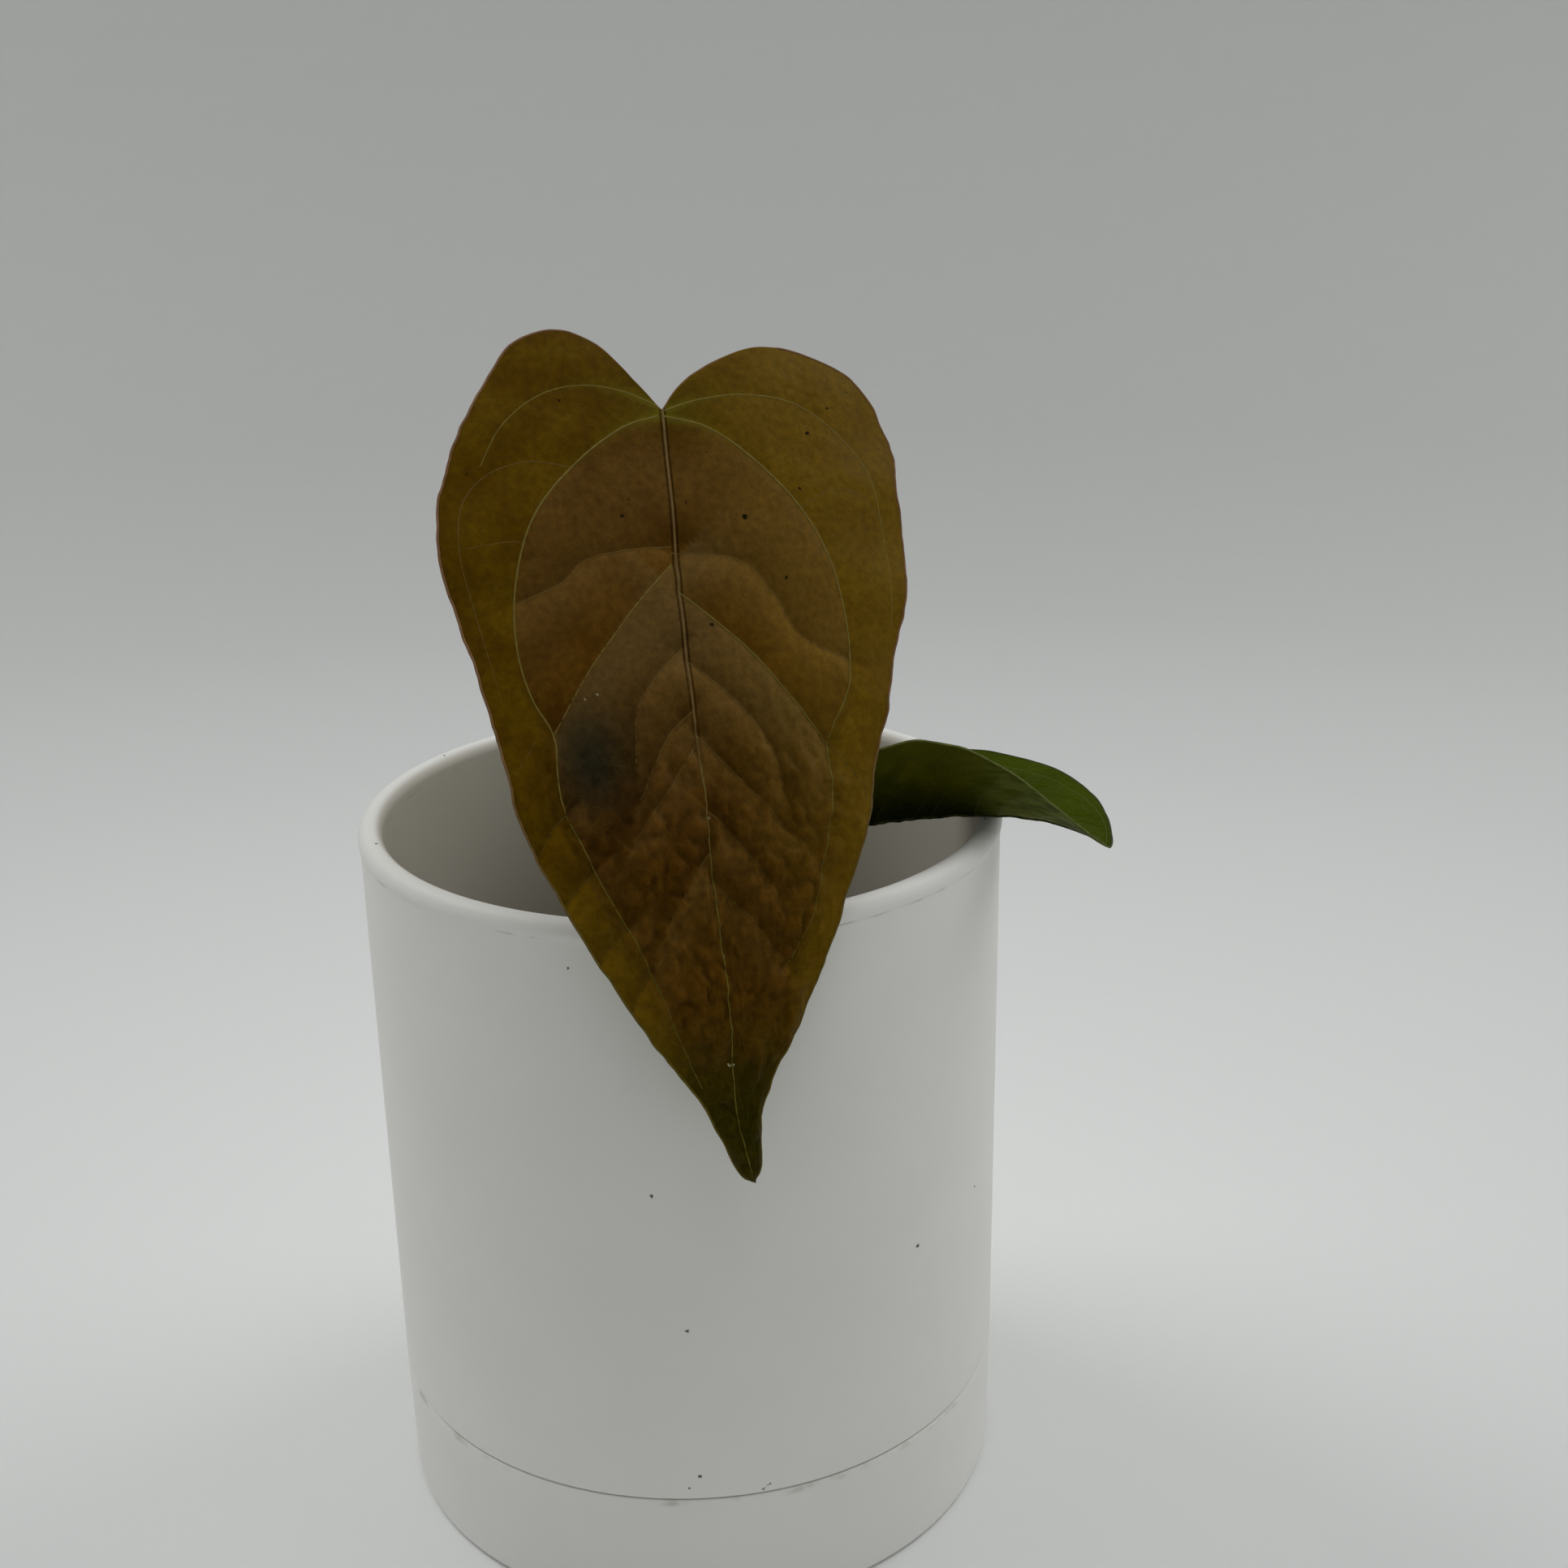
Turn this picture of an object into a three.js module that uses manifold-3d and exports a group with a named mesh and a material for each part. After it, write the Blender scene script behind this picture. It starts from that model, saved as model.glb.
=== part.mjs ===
// A young anthurium in a straight white ceramic pot that stands in its own flush saucer.
// Millimetres, +Z up. The origin is the centre of the saucer's flat underside, and the large new leaf faces -Y.

import * as THREE from "three";
import { mergeVertices } from "three/addons/utils/BufferGeometryUtils.js";
import Module from "manifold-3d";

const wasm = await Module();
wasm.setup();

// ---- driving dimensions -------------------------------------------------------------------------

const GAP = 0.3; // left between pieces that touch

const POT = {
  height: 144.5, // table to the top of the rim
  rimRadius: 63.5, // outside of the rounded rim
  beadRadius: 2.4, // of the rim's round section
  wallTop: 63.2, // outer radius just under the rim
  wallFoot: 63.0, // outer radius at the seam
  wall: 4.5,
  seam: 26.5, // height of the line between saucer and pot
  floor: 5,
  drainHole: 4.5, // radius
  drainCircle: 28, // radius that the outer holes lie on
};

const SAUCER = {
  floor: 3.2,
  outerFoot: 62.6,
  innerRadius: 60.1,
  edge: 1.6, // rounding where it meets the table
};

const MIX = {
  top: POT.height - 58, // the mix lies well below the rim
  dome: 2.5, // how far the middle stands above the edge
};

const CROWN = { x: 1, y: 4, foot: MIX.top - 14, height: 30, radius: 6.2 };

const SEGMENTS = 48; // round the pot, saucer and mix

// ---- helpers ------------------------------------------------------------------------------------

const V = (x, y, z) => new THREE.Vector3(x, y, z);
const lerp = THREE.MathUtils.lerp;
const rad = THREE.MathUtils.degToRad;
const clamp = THREE.MathUtils.clamp;

// A repeatable stream of numbers from 0 to 1.
function seededNumbers(seed) {
  let state = seed;
  return () => {
    state = (state * 1664525 + 1013904223) % 4294967296;
    return state / 4294967296;
  };
}

function signedVolume(geometry) {
  const p = geometry.attributes.position;
  const index = geometry.index.array;
  const corner = (i) => V().fromBufferAttribute(p, index[i]);
  let sum = 0;
  for (let i = 0; i < index.length; i += 3) {
    sum += corner(i).dot(corner(i + 1).cross(corner(i + 2))) / 6;
  }
  return sum;
}

// One closed surface with shared vertices, no empty triangles, and its faces pointing out.
function tidy(geometry) {
  const bare = new THREE.BufferGeometry();
  bare.setAttribute("position", geometry.getAttribute("position"));
  if (geometry.index) bare.setIndex(geometry.index);
  const merged = mergeVertices(bare, 1e-3);
  const kept = [];
  const old = merged.index.array;
  for (let i = 0; i < old.length; i += 3) {
    const [a, b, c] = [old[i], old[i + 1], old[i + 2]];
    if (a !== b && b !== c && c !== a) kept.push(a, b, c);
  }
  merged.setIndex(kept);
  if (signedVolume(merged) < 0) {
    for (let i = 0; i < kept.length; i += 3) {
      [kept[i + 1], kept[i + 2]] = [kept[i + 2], kept[i + 1]];
    }
    merged.setIndex(kept);
  }
  return merged;
}

// A closed solid through a row of rings, each a loop of the same number of points.
function solidThroughRings(rings) {
  const n = rings[0].length;
  const points = rings.flat();
  const faces = [];
  for (let i = 0; i + 1 < rings.length; i++) {
    for (let j = 0; j < n; j++) {
      const k = (j + 1) % n;
      const [a, b] = [i * n + j, i * n + k];
      faces.push(a, b, a + n, b, b + n, a + n);
    }
  }
  for (const [ring, start, turn] of [
    [rings[0], 0, 1],
    [rings.at(-1), (rings.length - 1) * n, -1],
  ]) {
    const middle = points.length;
    points.push(ring.reduce((sum, q) => sum.add(q), V(0, 0, 0)).divideScalar(n));
    for (let j = 0; j < n; j++) {
      const k = (j + 1) % n;
      if (turn > 0) faces.push(middle, start + k, start + j);
      else faces.push(middle, start + j, start + k);
    }
  }
  const geometry = new THREE.BufferGeometry().setFromPoints(points);
  geometry.setIndex(faces);
  return tidy(geometry);
}

// A round stem along a curve, with a radius that changes from end to end.
function stem(points, radiusAt, steps, sides, grow = 0) {
  const curve = new THREE.CatmullRomCurve3(points);
  const frames = curve.computeFrenetFrames(steps, false);
  const rings = [];
  for (let i = 0; i <= steps; i++) {
    const share = i / steps;
    const centre = curve.getPointAt(share);
    if (i === 0) centre.addScaledVector(frames.tangents[0], -grow);
    if (i === steps) centre.addScaledVector(frames.tangents[steps], grow);
    const ring = [];
    for (let j = 0; j < sides; j++) {
      const turn = (2 * Math.PI * j) / sides;
      const out = frames.normals[i].clone().multiplyScalar(Math.cos(turn));
      out.addScaledVector(frames.binormals[i], Math.sin(turn));
      ring.push(centre.clone().addScaledVector(out, radiusAt(share) + grow));
    }
    rings.push(ring);
  }
  return solidThroughRings(rings);
}

// The solid that a profile of [radius, height] points sweeps round +Z.
function turned(profile) {
  const points = profile.map(([r, z]) => new THREE.Vector2(r, z));
  const geometry = new THREE.LatheGeometry(points, SEGMENTS);
  geometry.rotateX(Math.PI / 2);
  return tidy(geometry);
}

// Points of an arc in a profile, from one angle to another in degrees.
function arc(r, z, radius, from, to, steps) {
  return Array.from({ length: steps + 1 }, (_, i) => {
    const a = rad(lerp(from, to, i / steps));
    return [r + radius * Math.cos(a), z + radius * Math.sin(a)];
  });
}

function toSolid(geometry) {
  const tidied = tidy(geometry);
  return new wasm.Manifold(
    new wasm.Mesh({
      numProp: 3,
      vertProperties: new Float32Array(tidied.attributes.position.array),
      triVerts: new Uint32Array(tidied.index.array),
    }),
  );
}

function cutAway(geometry, tools) {
  let solid = toSolid(geometry);
  for (const tool of tools) solid = solid.subtract(toSolid(tool));
  const mesh = solid.getMesh();
  const cut = new THREE.BufferGeometry();
  cut.setAttribute("position", new THREE.BufferAttribute(mesh.vertProperties, 3));
  cut.setIndex(new THREE.BufferAttribute(mesh.triVerts, 1));
  return cut;
}

// ---- pot and saucer -----------------------------------------------------------------------------

function potGeometry() {
  const beadZ = POT.height - POT.beadRadius;
  const beadR = POT.rimRadius - POT.beadRadius;
  const foot = SAUCER.floor + GAP;
  const shoulder = POT.seam + 0.5;
  const plug = SAUCER.innerRadius - 0.8;
  const recess = foot + 3;
  const inside = recess + POT.floor;
  const innerFoot = POT.wallFoot - POT.wall - 1;
  const shell = turned([
    [0, recess],
    [plug - 9, recess],
    [plug - 8, foot],
    [plug - 1, foot],
    [plug, foot + 1],
    [plug, shoulder],
    [POT.wallFoot - 0.7, shoulder],
    [POT.wallFoot, shoulder + 0.7],
    [POT.wallTop, beadZ - 1.8],
    ...arc(beadR, beadZ, POT.beadRadius, -29, 180, 8),
    ...arc(innerFoot - 6, inside + 6, 6, 0, -90, 3),
    [0, inside],
  ]);
  const hole = (x, y) => {
    const tool = new THREE.CylinderGeometry(POT.drainHole, POT.drainHole, 20, 16);
    return tool.rotateX(Math.PI / 2).translate(x, y, recess);
  };
  const holes = [hole(0, 0)];
  for (let i = 0; i < 4; i++) {
    const a = rad(45 + 90 * i);
    holes.push(hole(POT.drainCircle * Math.cos(a), POT.drainCircle * Math.sin(a)));
  }
  // Three notches let water out from under the foot ring.
  for (let i = 0; i < 3; i++) {
    const notch = new THREE.BoxGeometry(14, 8, 3);
    notch.translate(plug - 4, 0, foot).rotateZ(rad(30 + 120 * i));
    holes.push(notch);
  }
  return cutAway(shell, holes);
}

function saucerGeometry() {
  const top = POT.seam;
  const e = SAUCER.edge;
  const round = 0.7;
  return turned([
    [0, 0],
    ...arc(SAUCER.outerFoot - e, e, e, -90, 0, 3),
    ...arc(POT.wallFoot - round, top - round, round, 0, 90, 2),
    [SAUCER.innerRadius + 0.4, top],
    [SAUCER.innerRadius, top - 0.6],
    ...arc(SAUCER.innerRadius - 3, SAUCER.floor + 3, 3, 0, -90, 2).slice(0, 1),
    [SAUCER.innerRadius, SAUCER.floor],
    [0, SAUCER.floor],
  ]);
}

// ---- leaves -------------------------------------------------------------------------------------

// A blade is a surface along its midrib. Each list of three gives a value at the petiole, half way and at the tip:
//   heading  degrees from -Y towards +X that the midrib points
//   pitch    degrees between the midrib and straight down
//   roll     degrees that the blade is turned about the midrib
//   crease   slope at which the halves rise from the midrib
// Half outlines lie in the blade's own flat measure: [distance along the midrib from the petiole, distance out
// from it]. The two lobes reach behind the petiole.
const NEW_LEAF = {
  length: 134.5,
  base: V(-1, -26, POT.height + 81),
  heading: [11, 11, 11],
  pitch: [38, 22.5, 7],
  roll: [-8, -7, -6],
  crease: [0.08, 0.08, 0.08],
  rightCrease: 1, // the right half's crease, as a share of the left half's
  droop: 0.0035, // how fast each half curves away from its own slope
  sway: (share) => 1.2 * share ** 6 - 2 * Math.sin(Math.PI * share), // of the midrib, to the right
  thickness: 0.7,
  ruffle: 0.5,
  outlines: {
    left: [
      [0, 0], [-6, 4.4], [-13.2, 10.5], [-15.6, 17], [-12.5, 25], [-4.5, 31], [5, 36.4], [15, 40.3], [26, 41.3],
      [40, 38.7], [57, 35.3], [70, 33.2], [82, 28.6], [96, 21.6], [109, 14.3], [119, 7.6], [127, 4], [134.5, -1.2],
    ],
    right: [
      [0, 0], [-5, 3.9], [-10, 11], [-13.6, 20], [-13, 29.5], [-8.4, 38], [-1, 42.2], [5.5, 43.8], [14, 42.9],
      [24, 42.9], [36, 40.8], [51, 35.4], [65, 30.6], [79, 26], [95, 18.3], [108, 11.4], [116, 6.4], [122, 3.6],
      [128, 2.5], [134.5, 1.2],
    ],
  },
};

const OLD_OUTLINE = [
  [0, 0], [-7.5, 6.5], [-11, 13], [-8, 19.5], [0, 23.2], [7.2, 26.1], [18, 26.9], [29, 25], [39.6, 21.5],
  [50.4, 16.1], [59, 10.2], [64.8, 5.4], [68.4, 2.6], [72.3, 0],
];

// The old leaf is folded up like a boat. It lies over the rim, and its tip curls towards the front.
const OLD_LEAF = {
  length: 72.3,
  base: V(14.1, -14.9, POT.height - 0.8),
  heading: [91.7, 80, 25],
  pitch: [86, 95.3, 77.9],
  roll: [-12, -15.5, -11.5],
  crease: [0.31, 0.72, 0.63],
  rightCrease: 0.72,
  droop: 0,
  sway: () => 0,
  thickness: 0.7,
  ruffle: 0.3,
  outlines: { left: OLD_OUTLINE, right: OLD_OUTLINE },
};

const FOLD_ROUNDING = 2; // radius at the bottom of the fold along the midrib

// The smooth curve through three values at 0, 1/2 and 1. Behind the petiole it runs on a little way.
function through([first, middle, last], share) {
  const u = clamp(share, -0.35, 1);
  return first * (1 - u) * (1 - 2 * u) + middle * 4 * u * (1 - u) + last * u * (2 * u - 1);
}

// The midrib as a curve in space, with the blade's directions across it and out of its upper face.
class Midrib {
  constructor(leaf) {
    this.leaf = leaf;
    this.back = 24;
    this.step = 0.5;
    const count = Math.ceil((leaf.length + this.back + 4) / this.step);
    this.points = [V(0, 0, 0)];
    for (let i = 0; i < count; i++) {
      const along = this.along((i + 0.5) * this.step - this.back);
      this.points.push(this.points[i].clone().addScaledVector(along, this.step));
    }
    const start = this.points[this.back / this.step].clone();
    for (const p of this.points) p.sub(start).add(leaf.base);
  }

  value(list, s) {
    return through(list, s / this.leaf.length);
  }

  heading(s) {
    return rad(this.value(this.leaf.heading, s));
  }

  along(s) {
    const pitch = rad(this.value(this.leaf.pitch, s));
    const h = this.heading(s);
    return V(Math.sin(h) * Math.sin(pitch), -Math.cos(h) * Math.sin(pitch), -Math.cos(pitch));
  }

  point(s) {
    const place = (s + this.back) / this.step;
    const i = clamp(Math.floor(place), 0, this.points.length - 2);
    return this.points[i].clone().lerp(this.points[i + 1], place - i);
  }

  sway(s) {
    return this.leaf.sway(clamp(s / this.leaf.length, 0, 1));
  }

  // A point of the blade's middle surface: s along the leaf, t across it, positive to the right.
  surface(s, t) {
    const { crease, rightCrease, droop, roll } = this.leaf;
    const h = this.heading(s);
    const level = V(Math.cos(h), Math.sin(h), 0);
    const out = this.along(s).cross(level);
    const turn = rad(this.value(roll, s));
    const across = level.clone().multiplyScalar(Math.cos(turn)).addScaledVector(out, Math.sin(turn));
    const face = out.clone().multiplyScalar(Math.cos(turn)).addScaledVector(level, -Math.sin(turn));
    const apart = t - this.sway(s);
    const slope = this.value(crease, s) * (apart > 0 ? rightCrease : 1);
    const height = slope * (Math.hypot(apart, FOLD_ROUNDING) - FOLD_ROUNDING) - droop * apart * apart;
    return this.point(s).addScaledVector(across, t).addScaledVector(face, height);
  }

  normal(s, t) {
    const d = 0.5;
    const down = this.surface(s + d, t).sub(this.surface(s - d, t));
    const right = this.surface(s, t + d).sub(this.surface(s, t - d));
    return down.cross(right).normalize();
  }
}

// Rows run from the midrib to the margin. They fan round the petiole and slant towards the tip, as the side
// veins do.
const ROW_CURVE = 2.2;

function leafGeometry(leaf) {
  const midrib = new Midrib(leaf);
  const rows = 30;
  const columns = 4;
  const outline = {};
  for (const side of ["left", "right"]) {
    outline[side] = new THREE.CatmullRomCurve3(leaf.outlines[side].map(([s, t]) => V(s, t, 0)));
  }
  const point = (side, row, column, face) => {
    const sign = side === "left" ? -1 : 1;
    const share = row / rows;
    const reach = column / columns;
    const edge = outline[side].getPointAt(share);
    const middle = leaf.length * share ** ROW_CURVE;
    const s = lerp(middle, edge.x, reach);
    const t = lerp(midrib.sway(middle), sign * edge.y, reach);
    const wave = leaf.ruffle * reach ** 3 * Math.sin(Math.PI * share) * Math.sin(row * 1.9 + sign);
    return midrib.surface(s, t).addScaledVector(midrib.normal(s, t), wave + (face * leaf.thickness) / 2);
  };
  const rings = [];
  for (let row = 0; row <= rows; row++) {
    const ring = [];
    for (const face of [1, -1]) {
      const line = [];
      for (let c = columns; c > 0; c--) line.push(point("left", row, c, face));
      for (let c = 0; c <= columns; c++) line.push(point("right", row, c, face));
      ring.push(...(face > 0 ? line : line.reverse()));
    }
    rings.push(ring);
  }
  return solidThroughRings(rings);
}

// ---- stems and roots ----------------------------------------------------------------------------

// Petioles are thin and round. The last stretch, the geniculum, is a little thicker.
const petioleRadius = (foot, middle) => (share) => {
  const flare = foot * Math.max(0, 1 - share / 0.12) ** 2;
  const knee = 0.45 * THREE.MathUtils.smoothstep(share, 0.88, 0.92);
  return middle + flare + knee;
};

// The petiole ends against the underside of the blade, just inside the notch between the lobes.
function petioleTop(leaf) {
  const midrib = new Midrib(leaf);
  const under = midrib.normal(2, 0).negate();
  const end = midrib.surface(2, 0).addScaledVector(under, leaf.thickness / 2 + GAP + 0.9);
  return [end.clone().addScaledVector(under, 7), end];
}

function newPetiole(grow = 0) {
  const points = [
    V(CROWN.x - 1, CROWN.y + 1, CROWN.foot + CROWN.height - 5),
    V(-3, 9, MIX.top + 38),
    V(-5, 11, MIX.top + 68),
    V(-5, 5, MIX.top + 98),
    V(-3.2, -7, MIX.top + 122),
    ...petioleTop(NEW_LEAF),
  ];
  return stem(points, petioleRadius(1.2, 1.6), 26, 10, grow);
}

function oldPetiole(grow = 0) {
  const points = [
    V(CROWN.x + 4, CROWN.y - 2, CROWN.foot + CROWN.height - 8),
    V(6.5, -1, MIX.top + 20),
    V(11, -9, MIX.top + 35),
    ...petioleTop(OLD_LEAF),
  ];
  return stem(points, petioleRadius(0.5, 1.5), 18, 10, grow);
}

// A short thick stem, ringed where older leaves fell.
function crownGeometry(grow = 0) {
  const rings = [];
  const steps = 12;
  for (let i = 0; i <= steps; i++) {
    const share = i / steps;
    const scar = 0.5 * Math.cos(share * Math.PI * 8);
    const radius = CROWN.radius * (1 - 0.35 * share ** 3) + scar + grow;
    const z = CROWN.foot + CROWN.height * share + (i === 0 ? -grow : 0) + (i === steps ? grow : 0);
    const ring = [];
    for (let j = 0; j < 14; j++) {
      const turn = (2 * Math.PI * j) / 14;
      ring.push(V(CROWN.x + radius * Math.cos(turn), CROWN.y + radius * Math.sin(turn), z));
    }
    rings.push(ring);
  }
  return solidThroughRings(rings);
}

// Each root leaves the crown just above the mix, arches out and runs down into it.
const ROOTS = [
  { turn: 200, reach: 17, lift: 5.0, radius: 1.7 },
  { turn: 262, reach: 15, lift: 4.0, radius: 1.5 },
  { turn: 318, reach: 19, lift: 5.5, radius: 1.8 },
  { turn: 38, reach: 16, lift: 3.5, radius: 1.4 },
  { turn: 112, reach: 20, lift: 6.0, radius: 1.7 },
];

function rootGeometry({ turn, reach, lift, radius }, grow = 0) {
  const a = rad(turn);
  const at = (out, z) => V(CROWN.x + out * Math.cos(a), CROWN.y + out * Math.sin(a), z);
  const start = CROWN.radius + 0.6 + radius * 0.4;
  const points = [
    at(start, MIX.top + lift),
    at(start + 3, MIX.top + lift + 0.6),
    at(reach, MIX.top + lift * 0.2),
    at(reach + 3, MIX.top - 8),
    at(reach + 2, MIX.top - 20),
  ];
  return stem(points, (share) => radius * (1 - 0.35 * share), 12, 8, grow);
}

// A pointed papery sheath that hugs the foot of a petiole.
function sheathGeometry({ x, y, foot, height, radius, turn, spread, lean }) {
  const rings = [];
  const rows = 10;
  const columns = 6;
  const thick = 0.5;
  for (let i = 0; i <= rows; i++) {
    const share = i / rows;
    const half = spread * Math.sqrt(Math.max(0, 1 - share ** 1.6)) + 2;
    const ring = [];
    for (const layer of [radius + thick, radius]) {
      const line = [];
      for (let j = 0; j <= columns; j++) {
        const a = rad(turn + lerp(-half, half, j / columns));
        const r = layer * (1 - 0.25 * share);
        line.push(
          V(
            x + r * Math.cos(a) + lean[0] * share ** 2,
            y + r * Math.sin(a) + lean[1] * share ** 2,
            foot + height * share,
          ),
        );
      }
      ring.push(...(layer > radius ? line : line.reverse()));
    }
    rings.push(ring);
  }
  return solidThroughRings(rings);
}

// ---- potting mix --------------------------------------------------------------------------------

const MIX_EDGE = POT.wallTop - POT.wall - 0.9; // radius of the mix at its top

function mixHeight(x, y) {
  const share = Math.hypot(x, y) / MIX_EDGE;
  return MIX.top - MIX.dome * share * share;
}

function mixGeometry(tools) {
  const floor = SAUCER.floor + GAP + 3 + POT.floor + GAP;
  const foot = POT.wallFoot - POT.wall - 1 - GAP;
  const block = turned([
    [0, floor],
    ...arc(foot - 6.3, floor + 6.3, 6.3, -90, 0, 3),
    [MIX_EDGE, mixHeight(MIX_EDGE, 0)],
    ...[0.75, 0.5, 0.25, 0].map((share) => [MIX_EDGE * share, mixHeight(MIX_EDGE * share, 0)]),
  ]);
  return cutAway(block, tools);
}

// Loose pieces half sunk in the top of the mix: a lumpy pebble, squared off and flattened by its kind.
function lump(kind, place, grow = 0) {
  const next = seededNumbers(place.seed);
  const ball = new THREE.IcosahedronGeometry(1, 1);
  const geometry = tidy(ball);
  const p = geometry.attributes.position;
  for (let i = 0; i < p.count; i++) {
    const v = V().fromBufferAttribute(p, i);
    const square = (c) => Math.sign(c) * Math.abs(c) ** kind.square;
    v.set(square(v.x), square(v.y), square(v.z)).multiplyScalar(lerp(1, 0.8, next()));
    p.setXYZ(i, ...v);
  }
  const [a, b, c] = kind.size.map((size) => size * place.scale + grow);
  geometry.scale(a, b, c);
  geometry.rotateX(place.tilt).rotateZ(place.turn);
  const sunk = kind.size[2] * place.scale * 0.25;
  return geometry.translate(place.x, place.y, mixHeight(place.x, place.y) + sunk);
}

const LUMPS = [
  { name: "bark_chip", count: 12, size: [7.2, 4.6, 2.6], square: 0.55, material: "bark" },
  { name: "perlite_grain", count: 8, size: [2.4, 2.1, 1.9], square: 0.9, material: "perlite" },
];
const LUMP_RING = [30, 51]; // the lumps lie clear of the roots and of the pot's wall

// Each lump is dropped at random in the ring, and is kept where it clears the lumps already there.
function scatterLumps(kinds, seed) {
  const next = seededNumbers(seed);
  const placed = [];
  for (const kind of kinds) {
    let count = 0;
    while (count < kind.count) {
      const scale = lerp(0.8, 1.15, next());
      const reach = kind.size[0] * scale;
      const r = Math.sqrt(lerp((LUMP_RING[0] + reach / 4) ** 2, (LUMP_RING[1] - reach / 2) ** 2, next()));
      const a = 2 * Math.PI * next();
      const [x, y] = [r * Math.cos(a), r * Math.sin(a)];
      const clear = placed.every((other) => Math.hypot(x - other.x, y - other.y) > reach + other.reach + 1);
      if (!clear) continue;
      count += 1;
      const tilt = lerp(-0.25, 0.25, next());
      const turn = lerp(0, Math.PI, next());
      placed.push({ kind, x, y, reach, scale, tilt, turn, seed: seed + placed.length, number: count });
    }
  }
  return placed;
}

// ---- assembly -----------------------------------------------------------------------------------

const finish = (hex, roughness) => new THREE.MeshStandardMaterial({ color: hex, roughness, metalness: 0 });

const MATERIALS = {
  glaze: finish(0xd8d7d0, 0.55),
  mix: finish(0x2e2118, 0.95),
  bark: finish(0x5b3a22, 0.85),
  perlite: finish(0xe6e3da, 0.9),
  crown: finish(0x5f5a34, 0.7),
  root: finish(0xa08a63, 0.8),
  sheath: finish(0x8a6a3f, 0.75),
  newStem: finish(0x6b5a2a, 0.45),
  oldStem: finish(0x4b6a26, 0.45),
  newLeaf: finish(0x5a4418, 0.4),
  oldLeaf: finish(0x2c3d0c, 0.35),
};

const plant = new THREE.Group();

function add(name, geometry, material) {
  geometry.computeVertexNormals();
  const mesh = new THREE.Mesh(geometry, material);
  mesh.name = name;
  plant.add(mesh);
  return mesh;
}

add("saucer", saucerGeometry(), MATERIALS.glaze);
add("pot", potGeometry(), MATERIALS.glaze);

const sockets = [crownGeometry(GAP), ...ROOTS.map((root) => rootGeometry(root, GAP))];
for (const place of scatterLumps(LUMPS, 7)) {
  const name = `${place.kind.name}_${String(place.number).padStart(2, "0")}`;
  add(name, lump(place.kind, place), MATERIALS[place.kind.material]);
  sockets.push(lump(place.kind, place, GAP));
}
add("potting_mix", mixGeometry(sockets), MATERIALS.mix);

const crownSockets = [newPetiole(GAP), oldPetiole(GAP)];
add("crown_stem", cutAway(crownGeometry(), crownSockets), MATERIALS.crown);
ROOTS.forEach((root, i) => add(`root_${i + 1}`, rootGeometry(root), MATERIALS.root));
add("petiole_new", newPetiole(), MATERIALS.newStem);
add("petiole_old", oldPetiole(), MATERIALS.oldStem);
add("leaf_new", leafGeometry(NEW_LEAF), MATERIALS.newLeaf);
add("leaf_old", leafGeometry(OLD_LEAF), MATERIALS.oldLeaf);

const crownTop = CROWN.foot + CROWN.height;
const SHEATHS = {
  sheath_new: { turn: 150, foot: crownTop - 6.5, height: 30, radius: 6.9, spread: 62, lean: [-4, 4.5] },
  sheath_dry: { turn: 20, foot: crownTop - 7, height: 19, radius: 7.4, spread: 55, lean: [6, 2] },
};
for (const [name, sheath] of Object.entries(SHEATHS)) {
  add(name, sheathGeometry({ x: CROWN.x, y: CROWN.y, ...sheath }), MATERIALS.sheath);
}

export default plant;
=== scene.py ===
"""A young anthurium in a straight white ceramic pot that stands in its own flush saucer.

The tables are in millimetres, and each mesh is scaled to metres as it is made. Every piece is placed
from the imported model's own boxes.
"""
import math

import bmesh
import bpy
import numpy as np
from mathutils import Matrix, Vector, noise
from mathutils.bvhtree import BVHTree


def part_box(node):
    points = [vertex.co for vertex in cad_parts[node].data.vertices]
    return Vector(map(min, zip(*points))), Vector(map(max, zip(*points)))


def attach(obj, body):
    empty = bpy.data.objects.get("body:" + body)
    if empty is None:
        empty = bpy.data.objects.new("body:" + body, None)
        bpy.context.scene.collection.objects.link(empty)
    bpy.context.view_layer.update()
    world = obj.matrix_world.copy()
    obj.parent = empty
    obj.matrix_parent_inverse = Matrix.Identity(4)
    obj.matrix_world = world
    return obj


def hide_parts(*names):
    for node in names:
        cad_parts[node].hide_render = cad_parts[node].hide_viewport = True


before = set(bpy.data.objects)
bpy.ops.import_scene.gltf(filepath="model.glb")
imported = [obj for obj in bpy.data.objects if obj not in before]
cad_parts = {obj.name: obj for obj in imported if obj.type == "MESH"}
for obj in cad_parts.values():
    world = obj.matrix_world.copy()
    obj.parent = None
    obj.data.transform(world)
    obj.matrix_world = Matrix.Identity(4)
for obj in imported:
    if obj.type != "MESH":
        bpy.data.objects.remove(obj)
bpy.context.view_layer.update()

MM = 0.001


# ---- helpers ------------------------------------------------------------------------------------

def box_mm(node):
    """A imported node's lowest and highest corners, in millimetres."""
    low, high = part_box(node)
    return np.array(low) / MM, np.array(high) / MM


def linear(text):
    """An sRGB hex colour as linear red, green and blue with alpha 1."""
    parts = [int(text[i:i + 2], 16) / 255 for i in (1, 3, 5)]
    return (*(c / 12.92 if c <= 0.04045 else ((c + 0.055) / 1.055) ** 2.4 for c in parts), 1.0)


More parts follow.
